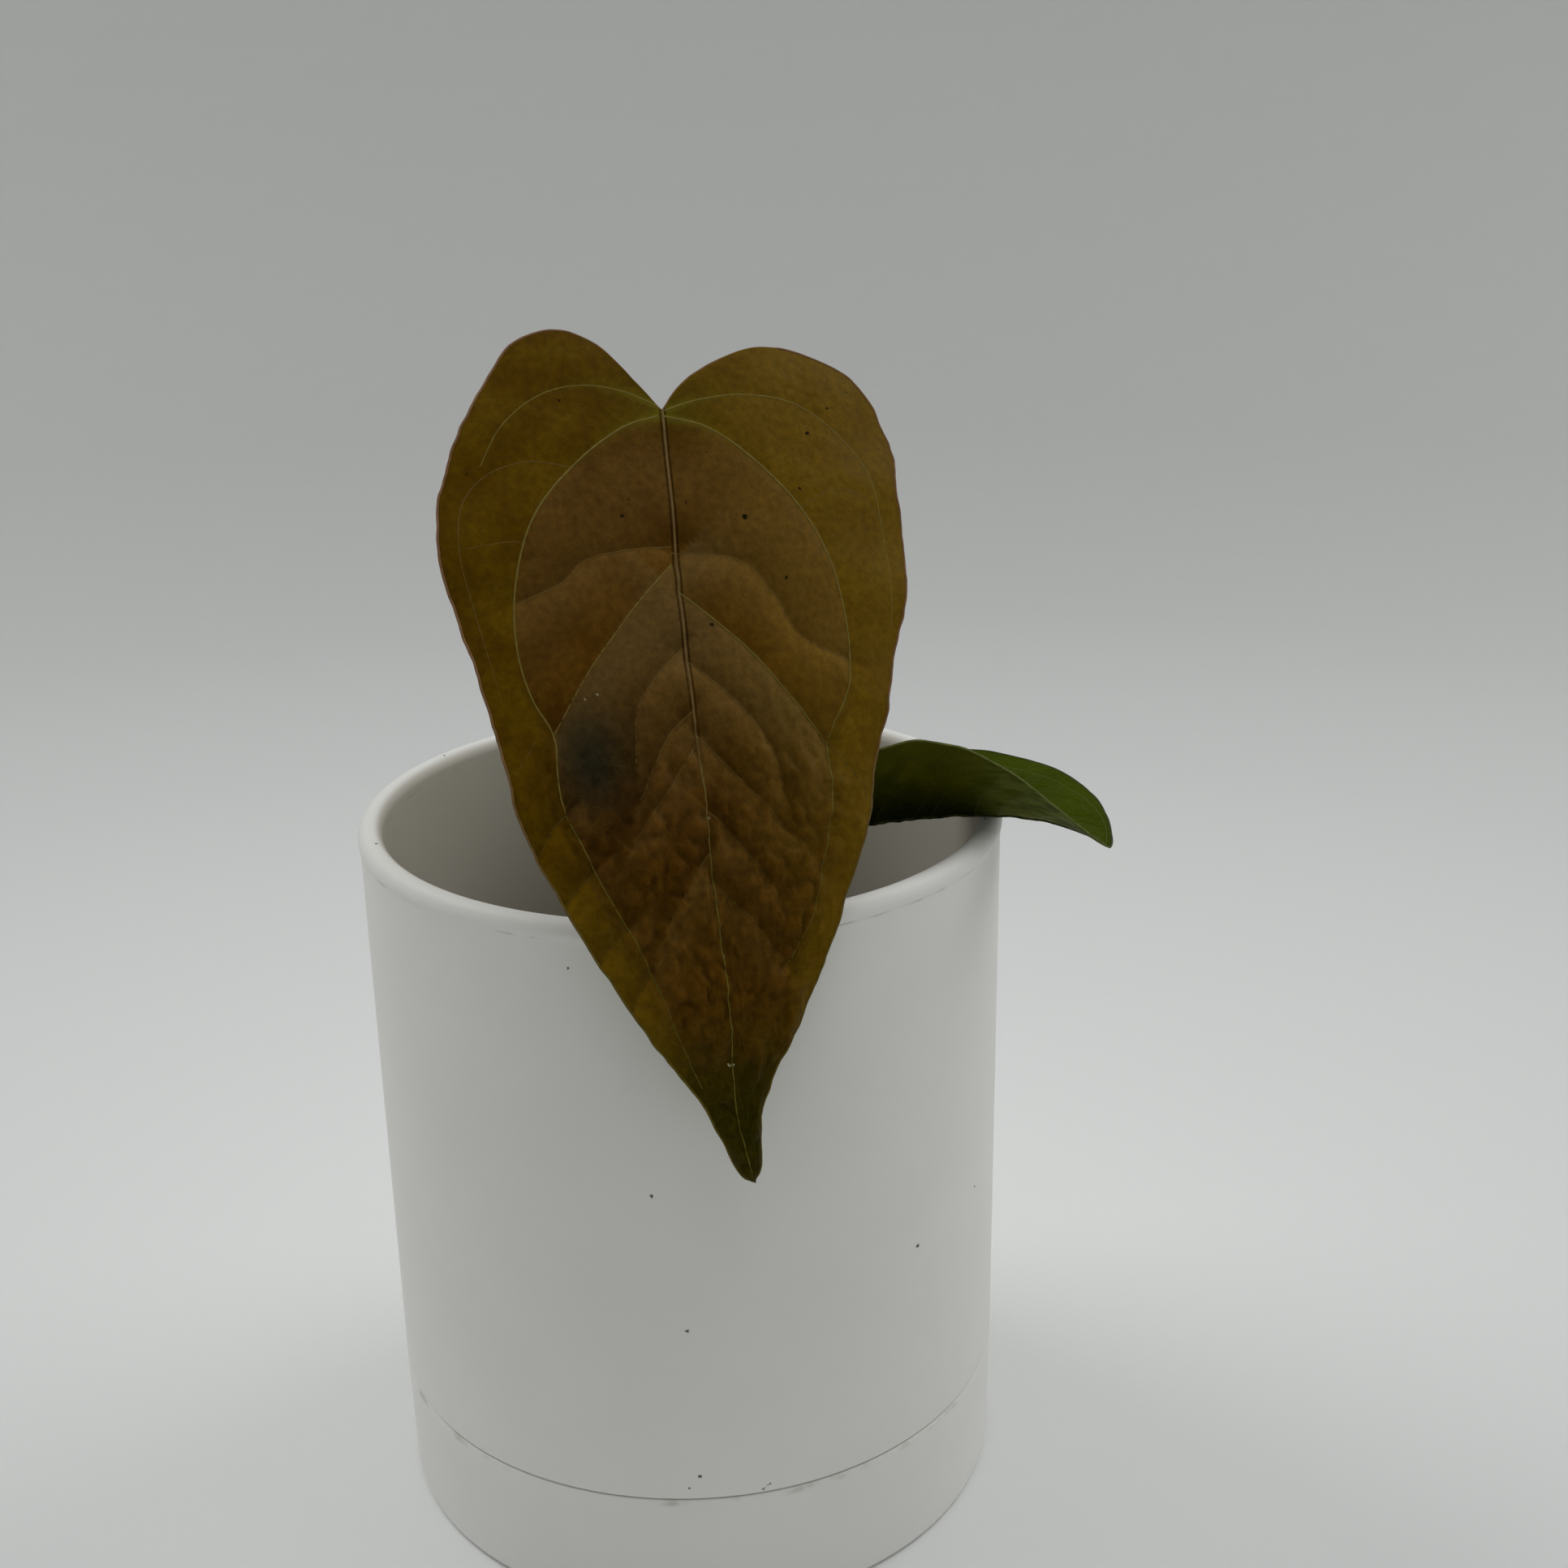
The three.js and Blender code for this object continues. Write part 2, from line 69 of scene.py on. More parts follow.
def add(tree, kind, inputs=None, stops=None, **settings):
    """Adds a node. Inputs go by name or number. Each is a value, a hex colour, one output of another
    node, or another node, which then gives its first output that is in use."""
    node = tree.nodes.new(kind)
    for key, value in settings.items():
        setattr(node, key, value)
    for key, value in (inputs or {}).items():
        if isinstance(value, bpy.types.Node):
            value = next(output for output in value.outputs if output.enabled)
        if isinstance(value, bpy.types.NodeSocket):
            tree.links.new(value, node.inputs[key])
        elif isinstance(value, str) and value.startswith("#"):
            node.inputs[key].default_value = linear(value)
        else:
            node.inputs[key].default_value = value
    for i, (place, colour) in enumerate(stops or []):
        ramp = node.color_ramp.elements
        stop = ramp[i] if i < 2 else ramp.new(place)
        stop.position = place
        stop.color = linear(colour)
    return node


def smoothstep(low, high, value):
    share = np.clip((np.asarray(value, float) - low) / (high - low), 0, 1)
    return share * share * (3 - 2 * share)


def smooth_line(points, count):
    """Evenly spaced points along the smooth curve through a few given ones."""
    p = np.array(points, float)
    p = np.vstack([2 * p[0] - p[1], p, 2 * p[-1] - p[-2]])
    u = np.linspace(0, 1, 24, endpoint=False)[:, None]
    parts = []
    for a, b, c, d in zip(p, p[1:], p[2:], p[3:]):
        before, here, after = (math.sqrt(math.dist(x, y)) for x, y in ((a, b), (b, c), (c, d)))
        leave = here * ((b - a) / before - (c - a) / (before + here) + (c - b) / here)
        arrive = here * ((c - b) / here - (d - b) / (here + after) + (d - c) / after)
        sag = 3 * (c - b) - 2 * leave - arrive
        twist = 2 * (b - c) + leave + arrive
        parts.append(b + leave * u + sag * u ** 2 + twist * u ** 3)
    line = np.vstack([*parts, p[-2:-1]])
    travelled = np.append(0, np.cumsum(np.linalg.norm(np.diff(line, axis=0), axis=1)))
    at = np.linspace(0, travelled[-1], count)
    return np.column_stack([np.interp(at, travelled, line[:, k]) for k in range(line.shape[1])])


def make_mesh(name, points, faces, materials, worn=None, values=None, edges=()):
    """A closed, smooth-shaded mesh object. values are numbers for each point, by attribute name."""
    mesh = bpy.data.meshes.new(name)
    mesh.from_pydata((np.asarray(points) * MM).tolist(), list(edges), faces)
    for key, numbers in (values or {}).items():
        mesh.attributes.new(key, "FLOAT", "POINT").data.foreach_set("value", np.ravel(numbers))
    if worn is not None:
        mesh.polygons.foreach_set("material_index", worn)
    if faces:
        work = bmesh.new()
        work.from_mesh(mesh)
        bmesh.ops.remove_doubles(work, verts=work.verts, dist=1e-6)
        bmesh.ops.recalc_face_normals(work, faces=work.faces)
        work.to_mesh(mesh)
        work.free()
        mesh.shade_smooth()
    for material in materials:
        mesh.materials.append(material)
    made = bpy.data.objects.new(name, mesh)
    bpy.context.scene.collection.objects.link(made)
    return made


def loft(rings):
    """Points and faces of a closed body through rings that all have the same number of points."""
    rings = np.asarray(rings, float)
    rows, n = rings.shape[:2]
    here = np.arange(n)
    after = (here + 1) % n
    faces = []
    for start in range(0, (rows - 1) * n, n):
        quads = np.stack([here, after, after + n, here + n], 1) + start
        faces += quads.tolist()
    faces.append(here[::-1].tolist())
    faces.append((here + (rows - 1) * n).tolist())
    return rings.reshape(-1, 3), faces


def in_short_steps(profile):
    """A [radius, height] profile with no stretch over 3 mm."""
    fine = [profile[0]]
    for (r0, z0), (r1, z1) in zip(profile, profile[1:]):
        steps = max(1, math.ceil(math.hypot(r1 - r0, z1 - z0) / 3))
        fine += [(r0 + (r1 - r0) * i / steps, z0 + (z1 - z0) * i / steps) for i in range(1, steps + 1)]
    return fine


def turned(profile, sides):
    """Rings of a body turned round +Z."""
    turns = np.arange(sides) * 2 * math.pi / sides
    return [np.stack([r * np.cos(turns), r * np.sin(turns), np.full(sides, z)], 1)
            for r, z in in_short_steps(profile)]


def bend(r, z, radius, start, end, steps=8):
    """Points of an arc in a turned profile, from one angle to another in degrees."""
    turns = np.radians(np.linspace(start, end, steps + 1))
    return [(r + radius * math.cos(a), z + radius * math.sin(a)) for a in turns]


def tube(line, radii, sides=20):
    """Rings of a round stem along a line of points."""
    ahead = np.gradient(line, axis=0)
    ahead /= np.linalg.norm(ahead, axis=1)[:, None]
    side = np.cross(ahead[0], (0.3, 1, 0.2))
    turns = np.arange(sides) * 2 * math.pi / sides
    rings = []
    for centre, direction, radius in zip(line, ahead, radii):
        side = side - direction * side.dot(direction)
        side /= np.linalg.norm(side)
        other = np.cross(direction, side)
        rings.append(centre + radius * (np.outer(np.cos(turns), side) + np.outer(np.sin(turns), other)))
    return np.array(rings)


def rough(points, size, seed):
    """Smooth noise from -1 to 1 at each point, with lumps of the given size in millimetres."""
    shift = Vector((seed * 7.3, seed * 3.1, seed * 5.7))
    return np.array([noise.noise(Vector(p) / size + shift) for p in np.reshape(points, (-1, 3))])


def declare(piece, slot, *nodes):
    """The piece stands on the root body and stands for some nodes, which it hides. The slot is not used."""
    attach(piece, "root")
    if nodes:
        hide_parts(*nodes)


def evaluated(piece, name):
    """A plain mesh object of a piece with its modifiers worked out. The piece itself goes."""
    depsgraph = bpy.context.evaluated_depsgraph_get()
    mesh = bpy.data.meshes.new_from_object(piece.evaluated_get(depsgraph))
    bpy.data.objects.remove(piece)
    mesh.name = name
    made = bpy.data.objects.new(name, mesh)
    bpy.context.scene.collection.objects.link(made)
    return made


def start_tree(name, output, **inputs):
    """A Geometry Nodes tree with one output, and with inputs that are each given as its kind."""
    tree = bpy.data.node_groups.new(name, "GeometryNodeTree")
    for key, kind in inputs.items():
        label = key.replace("_", " ").title()
        tree.interface.new_socket(label, in_out="INPUT", socket_type="NodeSocket" + kind)
    tree.interface.new_socket(output, in_out="OUTPUT", socket_type="NodeSocketGeometry")
    return tree, add(tree, "NodeGroupInput").outputs


def end_tree(tree, shape, skin):
    """Every tree ends in plain geometry with its material set."""
    real = add(tree, "GeometryNodeRealizeInstances", {"Geometry": shape})
    dressed = add(tree, "GeometryNodeSetMaterial", {"Geometry": real, "Material": skin})
    add(tree, "NodeGroupOutput", {0: dressed})
    return tree


def build_on(piece, tree, **values):
    """Puts a tree on an object, with its inputs given by their plain names."""
    modifier = piece.modifiers.new(tree.name, "NODES")
    modifier.node_group = tree
    for item in tree.interface.items_tree:
        key = item.name.lower().replace(" ", "_")
        if key in values:
            modifier[item.identifier] = values[key]


def line_mesh(name, points, **values):
    """A line of points joined by edges, for a tree to build on."""
    edges = [(i, i + 1) for i in range(len(points) - 1)]
    return make_mesh(name, points, [], [], edges=edges, values=values)


# ---- camera, light and stage --------------------------------------------------------------------

def make_camera():
    """Looks down at the front of the pot from just right of straight on."""
    camera = bpy.data.objects.new("camera", bpy.data.cameras.new("camera"))
    camera.data.sensor_width = 36
    camera.data.lens = 45.95
    yaw, pitch, roll = math.radians(3.118), math.radians(19.375), math.radians(-1.024)
    turn = Matrix.Rotation(-yaw, 4, "Z") @ Matrix.Rotation(math.pi / 2 - pitch, 4, "X")
    place = Matrix.Translation(Vector((0, -375.4, 279.3)) * MM)
    camera.matrix_world = place @ turn @ Matrix.Rotation(roll, 4, "Z")
    camera.data.clip_start = 0.01
    bpy.context.scene.collection.objects.link(camera)
    bpy.context.scene.camera = camera


make_camera()


def soft_light(name, place, target, size, watts):
    """A round soft lamp that the camera doesn't see. Places and sizes here are in metres."""
    light = bpy.data.lights.new(name, "AREA")
    light.shape = "DISK"
    light.size = size
    light.energy = watts
    made = bpy.data.objects.new(name, light)
    made.visible_camera = False
    made.location = place
    made.rotation_euler = (Vector(target) - Vector(place)).to_track_quat("-Z", "Y").to_euler()
    bpy.context.scene.collection.objects.link(made)


def paper_material():
    """Matt white backdrop paper, with painted shade that greys it the further it is from the middle of the
    stage, under the lights.
    """
    material, tree, place = start_material("Seamless backdrop paper")
    # Painted shade: the paper's tone darkens with distance from the middle of the stage, as light falls off.
    away = add(tree, "ShaderNodeVectorMath", {0: place}, operation="LENGTH")
    tone = add(tree, "ShaderNodeValToRGB", {0: away},
               stops=[(0.08, "#edeeed"), (0.22, "#e4e5e4"), (0.48, "#d3d4d3"), (0.95, "#bfc0be")])
    end_material(tree, tone, 0.8)
    return material


def make_stage():
    """A round pale cove: a flat floor that sweeps up into a low wall on every side."""
    flat, sweep, wall = 700, 500, 900
    profile = [(0, 0), (flat, 0), *bend(flat, sweep, sweep, -90, 0, 24), (flat + sweep, sweep + wall)]
    points, faces = loft(turned(profile, 96))
    cove = make_mesh("cove", points, faces[:-2], [paper_material()])
    mesh = cove.data
    if mesh.polygons[0].normal.z < 0:
        mesh.flip_normals()


def make_lights():
    world = bpy.data.worlds.new("room")
    world.use_nodes = True
    air = world.node_tree.nodes["Background"].inputs
    air["Color"].default_value = linear("#e3e6e8")
    air["Strength"].default_value = 0.36
    bpy.context.scene.world = world
    soft_light("left_window", (-0.85, 0.4, 1.1), (0, 0, 0.1), 0.9, 5.6)
    soft_light("right_window", (0.9, 0.35, 0.95), (0, 0, 0.1), 0.9, 4.3)
    soft_light("right_fill", (1.0, -0.3, 0.5), (0, 0, 0.1), 0.6, 0.5)
    soft_light("ceiling", (0, -0.15, 1.5), (0, 0, 0), 1.2, 3.2)
    bpy.context.scene.view_settings.view_transform = "Standard"


# ---- materials ----------------------------------------------------------------------------------

def start_material(name):
    """A material and its tree, and the place on the object in metres that its patterns follow."""
    material = bpy.data.materials.new(name)
    material.use_nodes = True
    tree = material.node_tree
    tree.nodes.clear()
    return material, tree, add(tree, "ShaderNodeTexCoord").outputs["Object"]


def end_material(tree, colour, roughness, height=None, depth=0.1, **constants):
    """The shader. height is a pattern from 0 to 1, and depth is how deep it is in millimetres."""
    inputs = {"Base Color": colour, "Roughness": roughness}
    inputs.update({key.replace("_", " "): value for key, value in constants.items()})
    if height is not None:
        inputs["Normal"] = add(tree, "ShaderNodeBump",
                               {"Height": height, "Distance": depth * MM, "Strength": 1.0})
    shader = add(tree, "ShaderNodeBsdfPrincipled", inputs)
    add(tree, "ShaderNodeOutputMaterial", {"Surface": shader})


SOFT = {"interpolation_type": "SMOOTHSTEP"}  # for every Map Range: 1 and 2 are from, 3 and 4 are to


def coated(tree, colour, *coats):
    """A base colour with coats over it. Each coat is how much of it covers, and its tone."""
    for cover, tone in coats:
        colour = add(tree, "ShaderNodeMix", {0: cover, 6: colour, 7: tone}, data_type="RGBA")
    return colour


def two_toned(tree, pattern, low, high, first, second):
    """Two tones that pass softly into each other where a pattern goes from low to high."""
    share = add(tree, "ShaderNodeMapRange", {0: pattern, 1: low, 2: high}, **SOFT)
    return coated(tree, first, (share, second))


def close_to(tree, value, level, full, none, most):
    """most where a value is within full of a level, and 0 where it is further off than none."""
    apart = add(tree, "ShaderNodeMath", {0: value, 1: level}, operation="SUBTRACT")
    gap = add(tree, "ShaderNodeMath", {0: apart}, operation="ABSOLUTE")
    return add(tree, "ShaderNodeMapRange", {0: gap, 1: full, 2: none, 3: most, 4: 0.0}, **SOFT)


def shaken(tree, place, size, amount):
    """The place, pushed about by up to half an amount in lumps of a size, so that edges are ragged."""
    lumps = add(tree, "ShaderNodeTexNoise", {"Vector": place, "Scale": 1 / size, "Detail": 2.0})
    return add(tree, "ShaderNodeMix", {0: amount / 2, 6: place, 7: lumps.outputs["Color"]},
               data_type="RGBA", blend_type="LINEAR_LIGHT")


def spotted(tree, place, marks):
    """1 inside any of the marks, 0 outside them. Each mark is its place and its size."""
    spots = 0.0
    for *spot, size in marks:
        apart = add(tree, "ShaderNodeVectorMath", {0: place, 1: spot}, operation="DISTANCE")
        inside = add(tree, "ShaderNodeMapRange", {0: apart, 1: size * 0.5, 2: size, 3: 1.0, 4: 0.0}, **SOFT)
        spots = add(tree, "ShaderNodeMath", {0: spots, 1: inside}, operation="MAXIMUM")
    return spots


def grown_material(name, dark, light, lump, roughness, depth, streak=1.0):
    """A rough natural skin: two tones in lumps of a size in millimetres, stretched along Z by streak."""
    material, tree, place = start_material(name)
    spread = add(tree, "ShaderNodeMapping", {"Vector": place, "Scale": (1, 1, 1 / streak)})
    lumps = add(tree, "ShaderNodeTexNoise",
                {"Vector": spread, "Scale": 1 / (lump * MM), "Detail": 6.0, "Roughness": 0.62})
    end_material(tree, two_toned(tree, lumps, 0.36, 0.66, dark, light), roughness, lumps, depth)
    return material


# ---- pot and saucer -----------------------------------------------------------------------------

SAUCER_LOW, SAUCER_HIGH = box_mm("saucer")
POT_LOW, POT_HIGH = box_mm("pot")
SEAM = SAUCER_HIGH[2]
RIM = POT_HIGH[2]
RIM_RADIUS = (POT_HIGH[0] - POT_LOW[0]) / 2
WALL_RADIUS = (SAUCER_HIGH[0] - SAUCER_LOW[0]) / 2
WALL = 4.5
BEAD = 2.4  # radius of the rounded rim
EDGE = 0.3  # rounding along the seam
PLUG = WALL_RADIUS - 3.7  # outer radius of the pot's foot, which drops into the saucer
RECESS = POT_LOW[2] + 3  # underside of the pot's floor, inside its foot ring
POT_FLOOR = RECESS + 5
SAUCER_FLOOR = 3.2
DRAIN_RADIUS = 4.5
DRAIN_RING = 28  # how far the outer drain holes are from the middle one

# Dirt on the pot's wall and on top of its rim: [degrees round from the front, height, size].
WALL_SPECKS = [
    (-7.2, 92.3, 0.45), (41.5, 69.7, 0.5), (-2.3, 64.1, 0.5), (-1, 31.9, 0.45), (-3, 29.4, 0.35),
    (-19, 136, 0.35), (61, 72, 0.35), (9.7, 27.6, 0.35), (10.2, 27.9, 0.3), (10.7, 28.3, 0.3),
    (11.1, 28.5, 0.25), (152, 88, 0.5), (-118, 51, 0.45), (203, 120, 0.35),
]
RIM_SPECKS = [
    (-72.7, 144.4, 0.4), (-123.9, 144.4, 0.35), (74, 144.4, 0.4), (76.5, 144, 0.35), (160, 144.4, 0.3),
]
SEAM_DIRT = (SEAM - 0.6, 1.2)  # height, and how far it reaches up and down
RIM_DIRT = (RIM - 3.4, 0.35)


def glaze_material():
    """Matte white tin glaze on slip-cast stoneware: an even soft white, with a faint mottle where it
    pooled, painted shade that makes it darker and warmer inside the wall, a little soil in the seam
    and under the rim, and a few specks of soil dust."""
    material, tree, place = start_material("Matte white glazed stoneware")
    pooled = add(tree, "ShaderNodeTexNoise", {"Vector": place, "Scale": 1 / (22 * MM), "Detail": 3.0})
    colour = two_toned(tree, pooled, 0.35, 0.65, "#e7e6e1", "#e9e8e3")
    level = add(tree, "ShaderNodeVectorMath", {0: place, 1: (1, 1, 0)}, operation="MULTIPLY")
    radius = add(tree, "ShaderNodeVectorMath", {0: level}, operation="LENGTH")
    # Painted shade: the glaze is darker and warmer inside the wall, where the pot's inside lies in shade.
    thin, thick = (WALL_RADIUS - 4) * MM, (WALL_RADIUS - 2.5) * MM
    within = add(tree, "ShaderNodeMapRange", {0: radius, 1: thin, 2: thick, 3: 1.0, 4: 0.0}, **SOFT)
    colour = coated(tree, colour, (within, "#c2beb1"))
    patchy = add(tree, "ShaderNodeTexNoise", {"Vector": place, "Scale": 1 / (9 * MM), "Detail": 4.0})
    soiled = add(tree, "ShaderNodeMapRange", {0: patchy, 1: 0.5, 2: 0.68}, **SOFT)
    height = add(tree, "ShaderNodeSeparateXYZ", {0: place}).outputs["Z"]
    for level, reach in (SEAM_DIRT, RIM_DIRT):
        line = close_to(tree, height, level * MM, 0.0, reach * MM, 0.5)
        dirt = add(tree, "ShaderNodeMath", {0: line, 1: soiled}, operation="MULTIPLY")
        colour = coated(tree, colour, (dirt, "#8d8678"))
    marks = []
    for radius, specks in ((WALL_RADIUS, WALL_SPECKS), (WALL_RADIUS - BEAD, RIM_SPECKS)):
        for turn, level, size in specks:
            a = math.radians(turn)
            marks.append((radius * math.sin(a) * MM, -radius * math.cos(a) * MM, level * MM, size * MM))
    ragged = shaken(tree, place, 0.6 * MM, 0.9 * MM)
    colour = coated(tree, colour, (spotted(tree, ragged, marks), "#4a443a"))
    fine = add(tree, "ShaderNodeTexNoise", {"Vector": place, "Scale": 1 / (1.5 * MM), "Detail": 3.0})
    satin = add(tree, "ShaderNodeMapRange", {0: fine, 1: 0.3, 2: 0.7, 3: 0.46, 4: 0.54}, **SOFT)
    end_material(tree, colour, satin, fine, 0.012, IOR=1.5)
    return material


def ware_tree():
    """A body turned round +Z. Its profile is a line of points in the XZ plane, which runs up the
    outside from the axis and back down the inside to it."""
    tree, given = start_tree("Turned ware", "Ware", profile="Geometry", wheel_radius="Float", sides="Int",
                             skin="Material")
    apart = add(tree, "ShaderNodeSeparateXYZ", {0: add(tree, "GeometryNodeInputPosition")}).outputs
    out = add(tree, "ShaderNodeMath", {0: apart["X"], 1: given["Wheel Radius"]}, operation="SUBTRACT")
    down = add(tree, "ShaderNodeMath", {0: 0.0, 1: apart["Z"]}, operation="SUBTRACT")
    flat = add(tree, "ShaderNodeCombineXYZ", {0: out, 1: down})
    laid = add(tree, "GeometryNodeSetPosition", {"Geometry": given["Profile"], "Position": flat})
    line = add(tree, "GeometryNodeMeshToCurve", {"Mesh": laid})
    wheel = add(tree, "GeometryNodeCurvePrimitiveCircle",
                {"Resolution": given["Sides"], "Radius": given["Wheel Radius"]})
    level = add(tree, "GeometryNodeSetCurveNormal", {"Curve": wheel}, mode="Z_UP")
    body = add(tree, "GeometryNodeCurveToMesh", {"Curve": level, "Profile Curve": line})
    outward = add(tree, "GeometryNodeFlipFaces", {"Mesh": body})
    shut = add(tree, "GeometryNodeMergeByDistance", {"Geometry": outward, "Distance": 0.001 * MM})
    smooth = add(tree, "GeometryNodeSetShadeSmooth", {"Geometry": shut})
    return end_tree(tree, smooth, given["Skin"])


WARE_TREE = ware_tree()


def thrown(name, profile, glaze):
    """A turned body that still has its modifier."""
    blank = line_mesh(name, [(r, 0, z) for r, z in in_short_steps(profile)])
    build_on(blank, WARE_TREE, wheel_radius=10 * MM, sides=192, skin=glaze)
    return blank


def make_pot(glaze):
    """A straight wall under a bead of a rim, on a foot ring, with drain holes cut through its floor."""
    foot = POT_LOW[2]
    inner = WALL_RADIUS - WALL
    shoulder = SEAM + EDGE
    profile = [
        (0, RECESS), (PLUG - 9, RECESS), (PLUG - 8, foot), (PLUG - 1, foot),
        *bend(PLUG - 1, foot + 1, 1, -90, 0, 4), (PLUG, shoulder),
        *bend(WALL_RADIUS - EDGE, shoulder + EDGE, EDGE, -90, 0, 4),
        (RIM_RADIUS - 0.35, RIM - BEAD - 2.2), *bend(RIM_RADIUS - BEAD, RIM - BEAD, BEAD, -22, 180, 22),
        *bend(inner - 7, POT_FLOOR + 6, 6, 0, -90, 6), (0, POT_FLOOR),
    ]
    blank = thrown("pot_blank", profile, glaze)
    corners = np.radians([45, 135, 225, 315])
    holes = [(0, 0)] + [(DRAIN_RING * math.cos(a), DRAIN_RING * math.sin(a)) for a in corners]
    cutters = []
    for x, y in holes:
        rings = turned([(DRAIN_RADIUS, RECESS - 5), (DRAIN_RADIUS, POT_FLOOR + 5)], 32)
        cutter = make_mesh("drain_cutter", *loft([ring + (x, y, 0) for ring in rings]), [glaze])
        blank.modifiers.new("Drain hole", "BOOLEAN").object = cutter
        cutters.append(cutter)
    made = evaluated(blank, "pot_body")
    for cutter in cutters:
        bpy.data.objects.remove(cutter)
    declare(made, "glaze", "pot")


def make_saucer(glaze):
    """A shallow cup as wide as the pot's wall, with a rounded foot."""
    inner = WALL_RADIUS - 2.9
    foot = 1.6
    profile = [
        (0, 0), *bend(WALL_RADIUS - 0.4 - foot, foot, foot, -90, 0),
        *bend(WALL_RADIUS - EDGE, SEAM - EDGE, EDGE, 0, 90, 4),
        (inner + 0.3, SEAM), (inner, SEAM - 0.5), *bend(inner - 2, SAUCER_FLOOR + 2, 2, 0, -90, 4),
        (0, SAUCER_FLOOR),
    ]
    declare(evaluated(thrown("saucer_blank", profile, glaze), "saucer_ring"), "glaze", "saucer")


# ---- leaf blades --------------------------------------------------------------------------------

FOLD_ROUNDING = 2  # radius at the bottom of the fold along the midrib
ROW_CURVE = 2.2  # rows fan round the petiole and slant towards the tip
REACH_ABOVE = 4  # how far off a blade a vein's line is dropped onto it from


def through(values, share):
    """The smooth curve through values at 0, 1/2 and 1. Behind the petiole it runs on a little way."""
    first, middle, last = values
    u = np.clip(share, -0.35, 1)
    return first * (1 - u) * (1 - 2 * u) + middle * 4 * u * (1 - u) + last * u * (2 * u - 1)


class Blade:
    """A leaf's middle surface. s runs along the leaf from the petiole, and t across it to the right.

    Each list of three gives a value at the petiole, half way and at the tip:
      heading  degrees from -Y towards +X that the midrib points
      pitch    degrees between the midrib and straight down
      roll     degrees that the blade is turned about the midrib
      crease   slope at which the halves rise from the midrib
    right_crease is the right half's share of that slope, droop curls the halves down again, sway is
    how far the midrib wanders across, and ripple is how uneven the margins are.
    """

    back = 24  # how far the surface runs on behind the petiole, for the basal lobes
    step = 0.5

    def __init__(self, base, length, heading, pitch, roll, crease, right_crease, droop, sway, outlines,
                 ripple):
        self.length = length
        self.ripple = ripple
        self.turns = heading, pitch, roll
        self.crease = crease
        self.right_crease = right_crease
        self.droop = droop
        self.sway_of = sway
        self.outlines = outlines
        self.places = np.arange(-self.back, length + 4, self.step)
        steps = self.along(self.places[:-1] + self.step / 2) * self.step
        line = np.vstack([np.zeros(3), np.cumsum(steps, axis=0)])
        self.line = line - line[int(self.back / self.step)] + base

    def angles(self, s):
        return [np.radians(through(values, s / self.length)) for values in self.turns]

    def along(self, s):
        heading, pitch, _ = self.angles(s)
        level = np.sin(pitch)
        return np.stack([np.sin(heading) * level, -np.cos(heading) * level, -np.cos(pitch)], -1)

    def sway(self, s):
        return self.sway_of(np.clip(s / self.length, 0, 1))

    def surface(self, s, t):
        """The point at each (s, t)."""
        s, t = np.broadcast_arrays(np.asarray(s, float), np.asarray(t, float))
        heading, _, roll = self.angles(s)
        level = np.stack([np.cos(heading), np.sin(heading), np.zeros_like(s)], -1)
        out = np.cross(self.along(s), level)
        c, d = np.cos(roll)[..., None], np.sin(roll)[..., None]
        across = level * c + out * d
        face = out * c - level * d
        apart = t - self.sway(s)
        slope = through(self.crease, s / self.length) * np.where(apart > 0, self.right_crease, 1)
        rise = slope * (np.hypot(apart, FOLD_ROUNDING) - FOLD_ROUNDING) - self.droop * apart ** 2
        middle = np.stack([np.interp(s, self.places, self.line[:, k]) for k in range(3)], -1)
        return middle + across * t[..., None] + face * rise[..., None]

    def normal(self, s, t):
        d = 0.5
        down = self.surface(s + d, t) - self.surface(s - d, t)
        right = self.surface(s, t + d) - self.surface(s, t - d)
        face = np.cross(down, right)
        return face / np.linalg.norm(face, axis=-1)[..., None]

    def margin(self, side, count):
        """Points down one margin, slightly uneven, with t growing away from the midrib."""
        edge = smooth_line(self.outlines[side], count)
        flat = np.column_stack([edge, np.full(count, 9.0 if side == "left" else 0.0)])
        fade = np.clip(np.minimum(np.arange(count), np.arange(count)[::-1]) * 12 / count, 0, 1)
        edge[:, 1] += self.ripple * fade * (rough(flat, 4.5, 30) + 0.5 * rough(flat, 1.9, 31))
        return edge

    def grid(self, rows, columns):
        """s, t and the reach from midrib to margin, one row for each step along the outline."""
        share = np.linspace(0, 1, rows + 1)[:, None]
        middle = self.length * share ** ROW_CURVE
        reach = np.linspace(0, 1, columns + 1)[None, :]
        halves = []
        for side, sign in (("left", -1), ("right", 1)):
            edge = self.margin(side, rows + 1)
            s = middle + (edge[:, :1] - middle) * reach
            t = self.sway(middle) * (1 - reach) + sign * edge[:, 1:] * reach
            halves.append((s, t, reach + 0 * s))
        (ls, lt, lr), (rs, rt, rr) = halves
        joined = [np.hstack([a[:, :0:-1], b]) for a, b in ((ls, rs), (lt, rt), (lr, rr))]
        return joined[0], joined[1], joined[2], share


def nearest(s, t, line):
    """The distance from each (s, t) to a line, and how far it is to the line's left side."""
    ahead = np.gradient(line, axis=0)
    gap, side = np.empty(s.shape), np.empty(s.shape)
    for row in range(len(s)):
        ds = s[row][:, None] - line[:, 0]
        dt = t[row][:, None] - line[:, 1]
        squares = ds ** 2 + dt ** 2
        best = squares.argmin(1)
        each = np.arange(len(best))
        gap[row] = np.sqrt(squares[each, best])
        side[row] = ahead[best, 0] * dt[each, best] - ahead[best, 1] * ds[each, best]
    return gap, np.sign(side) * gap


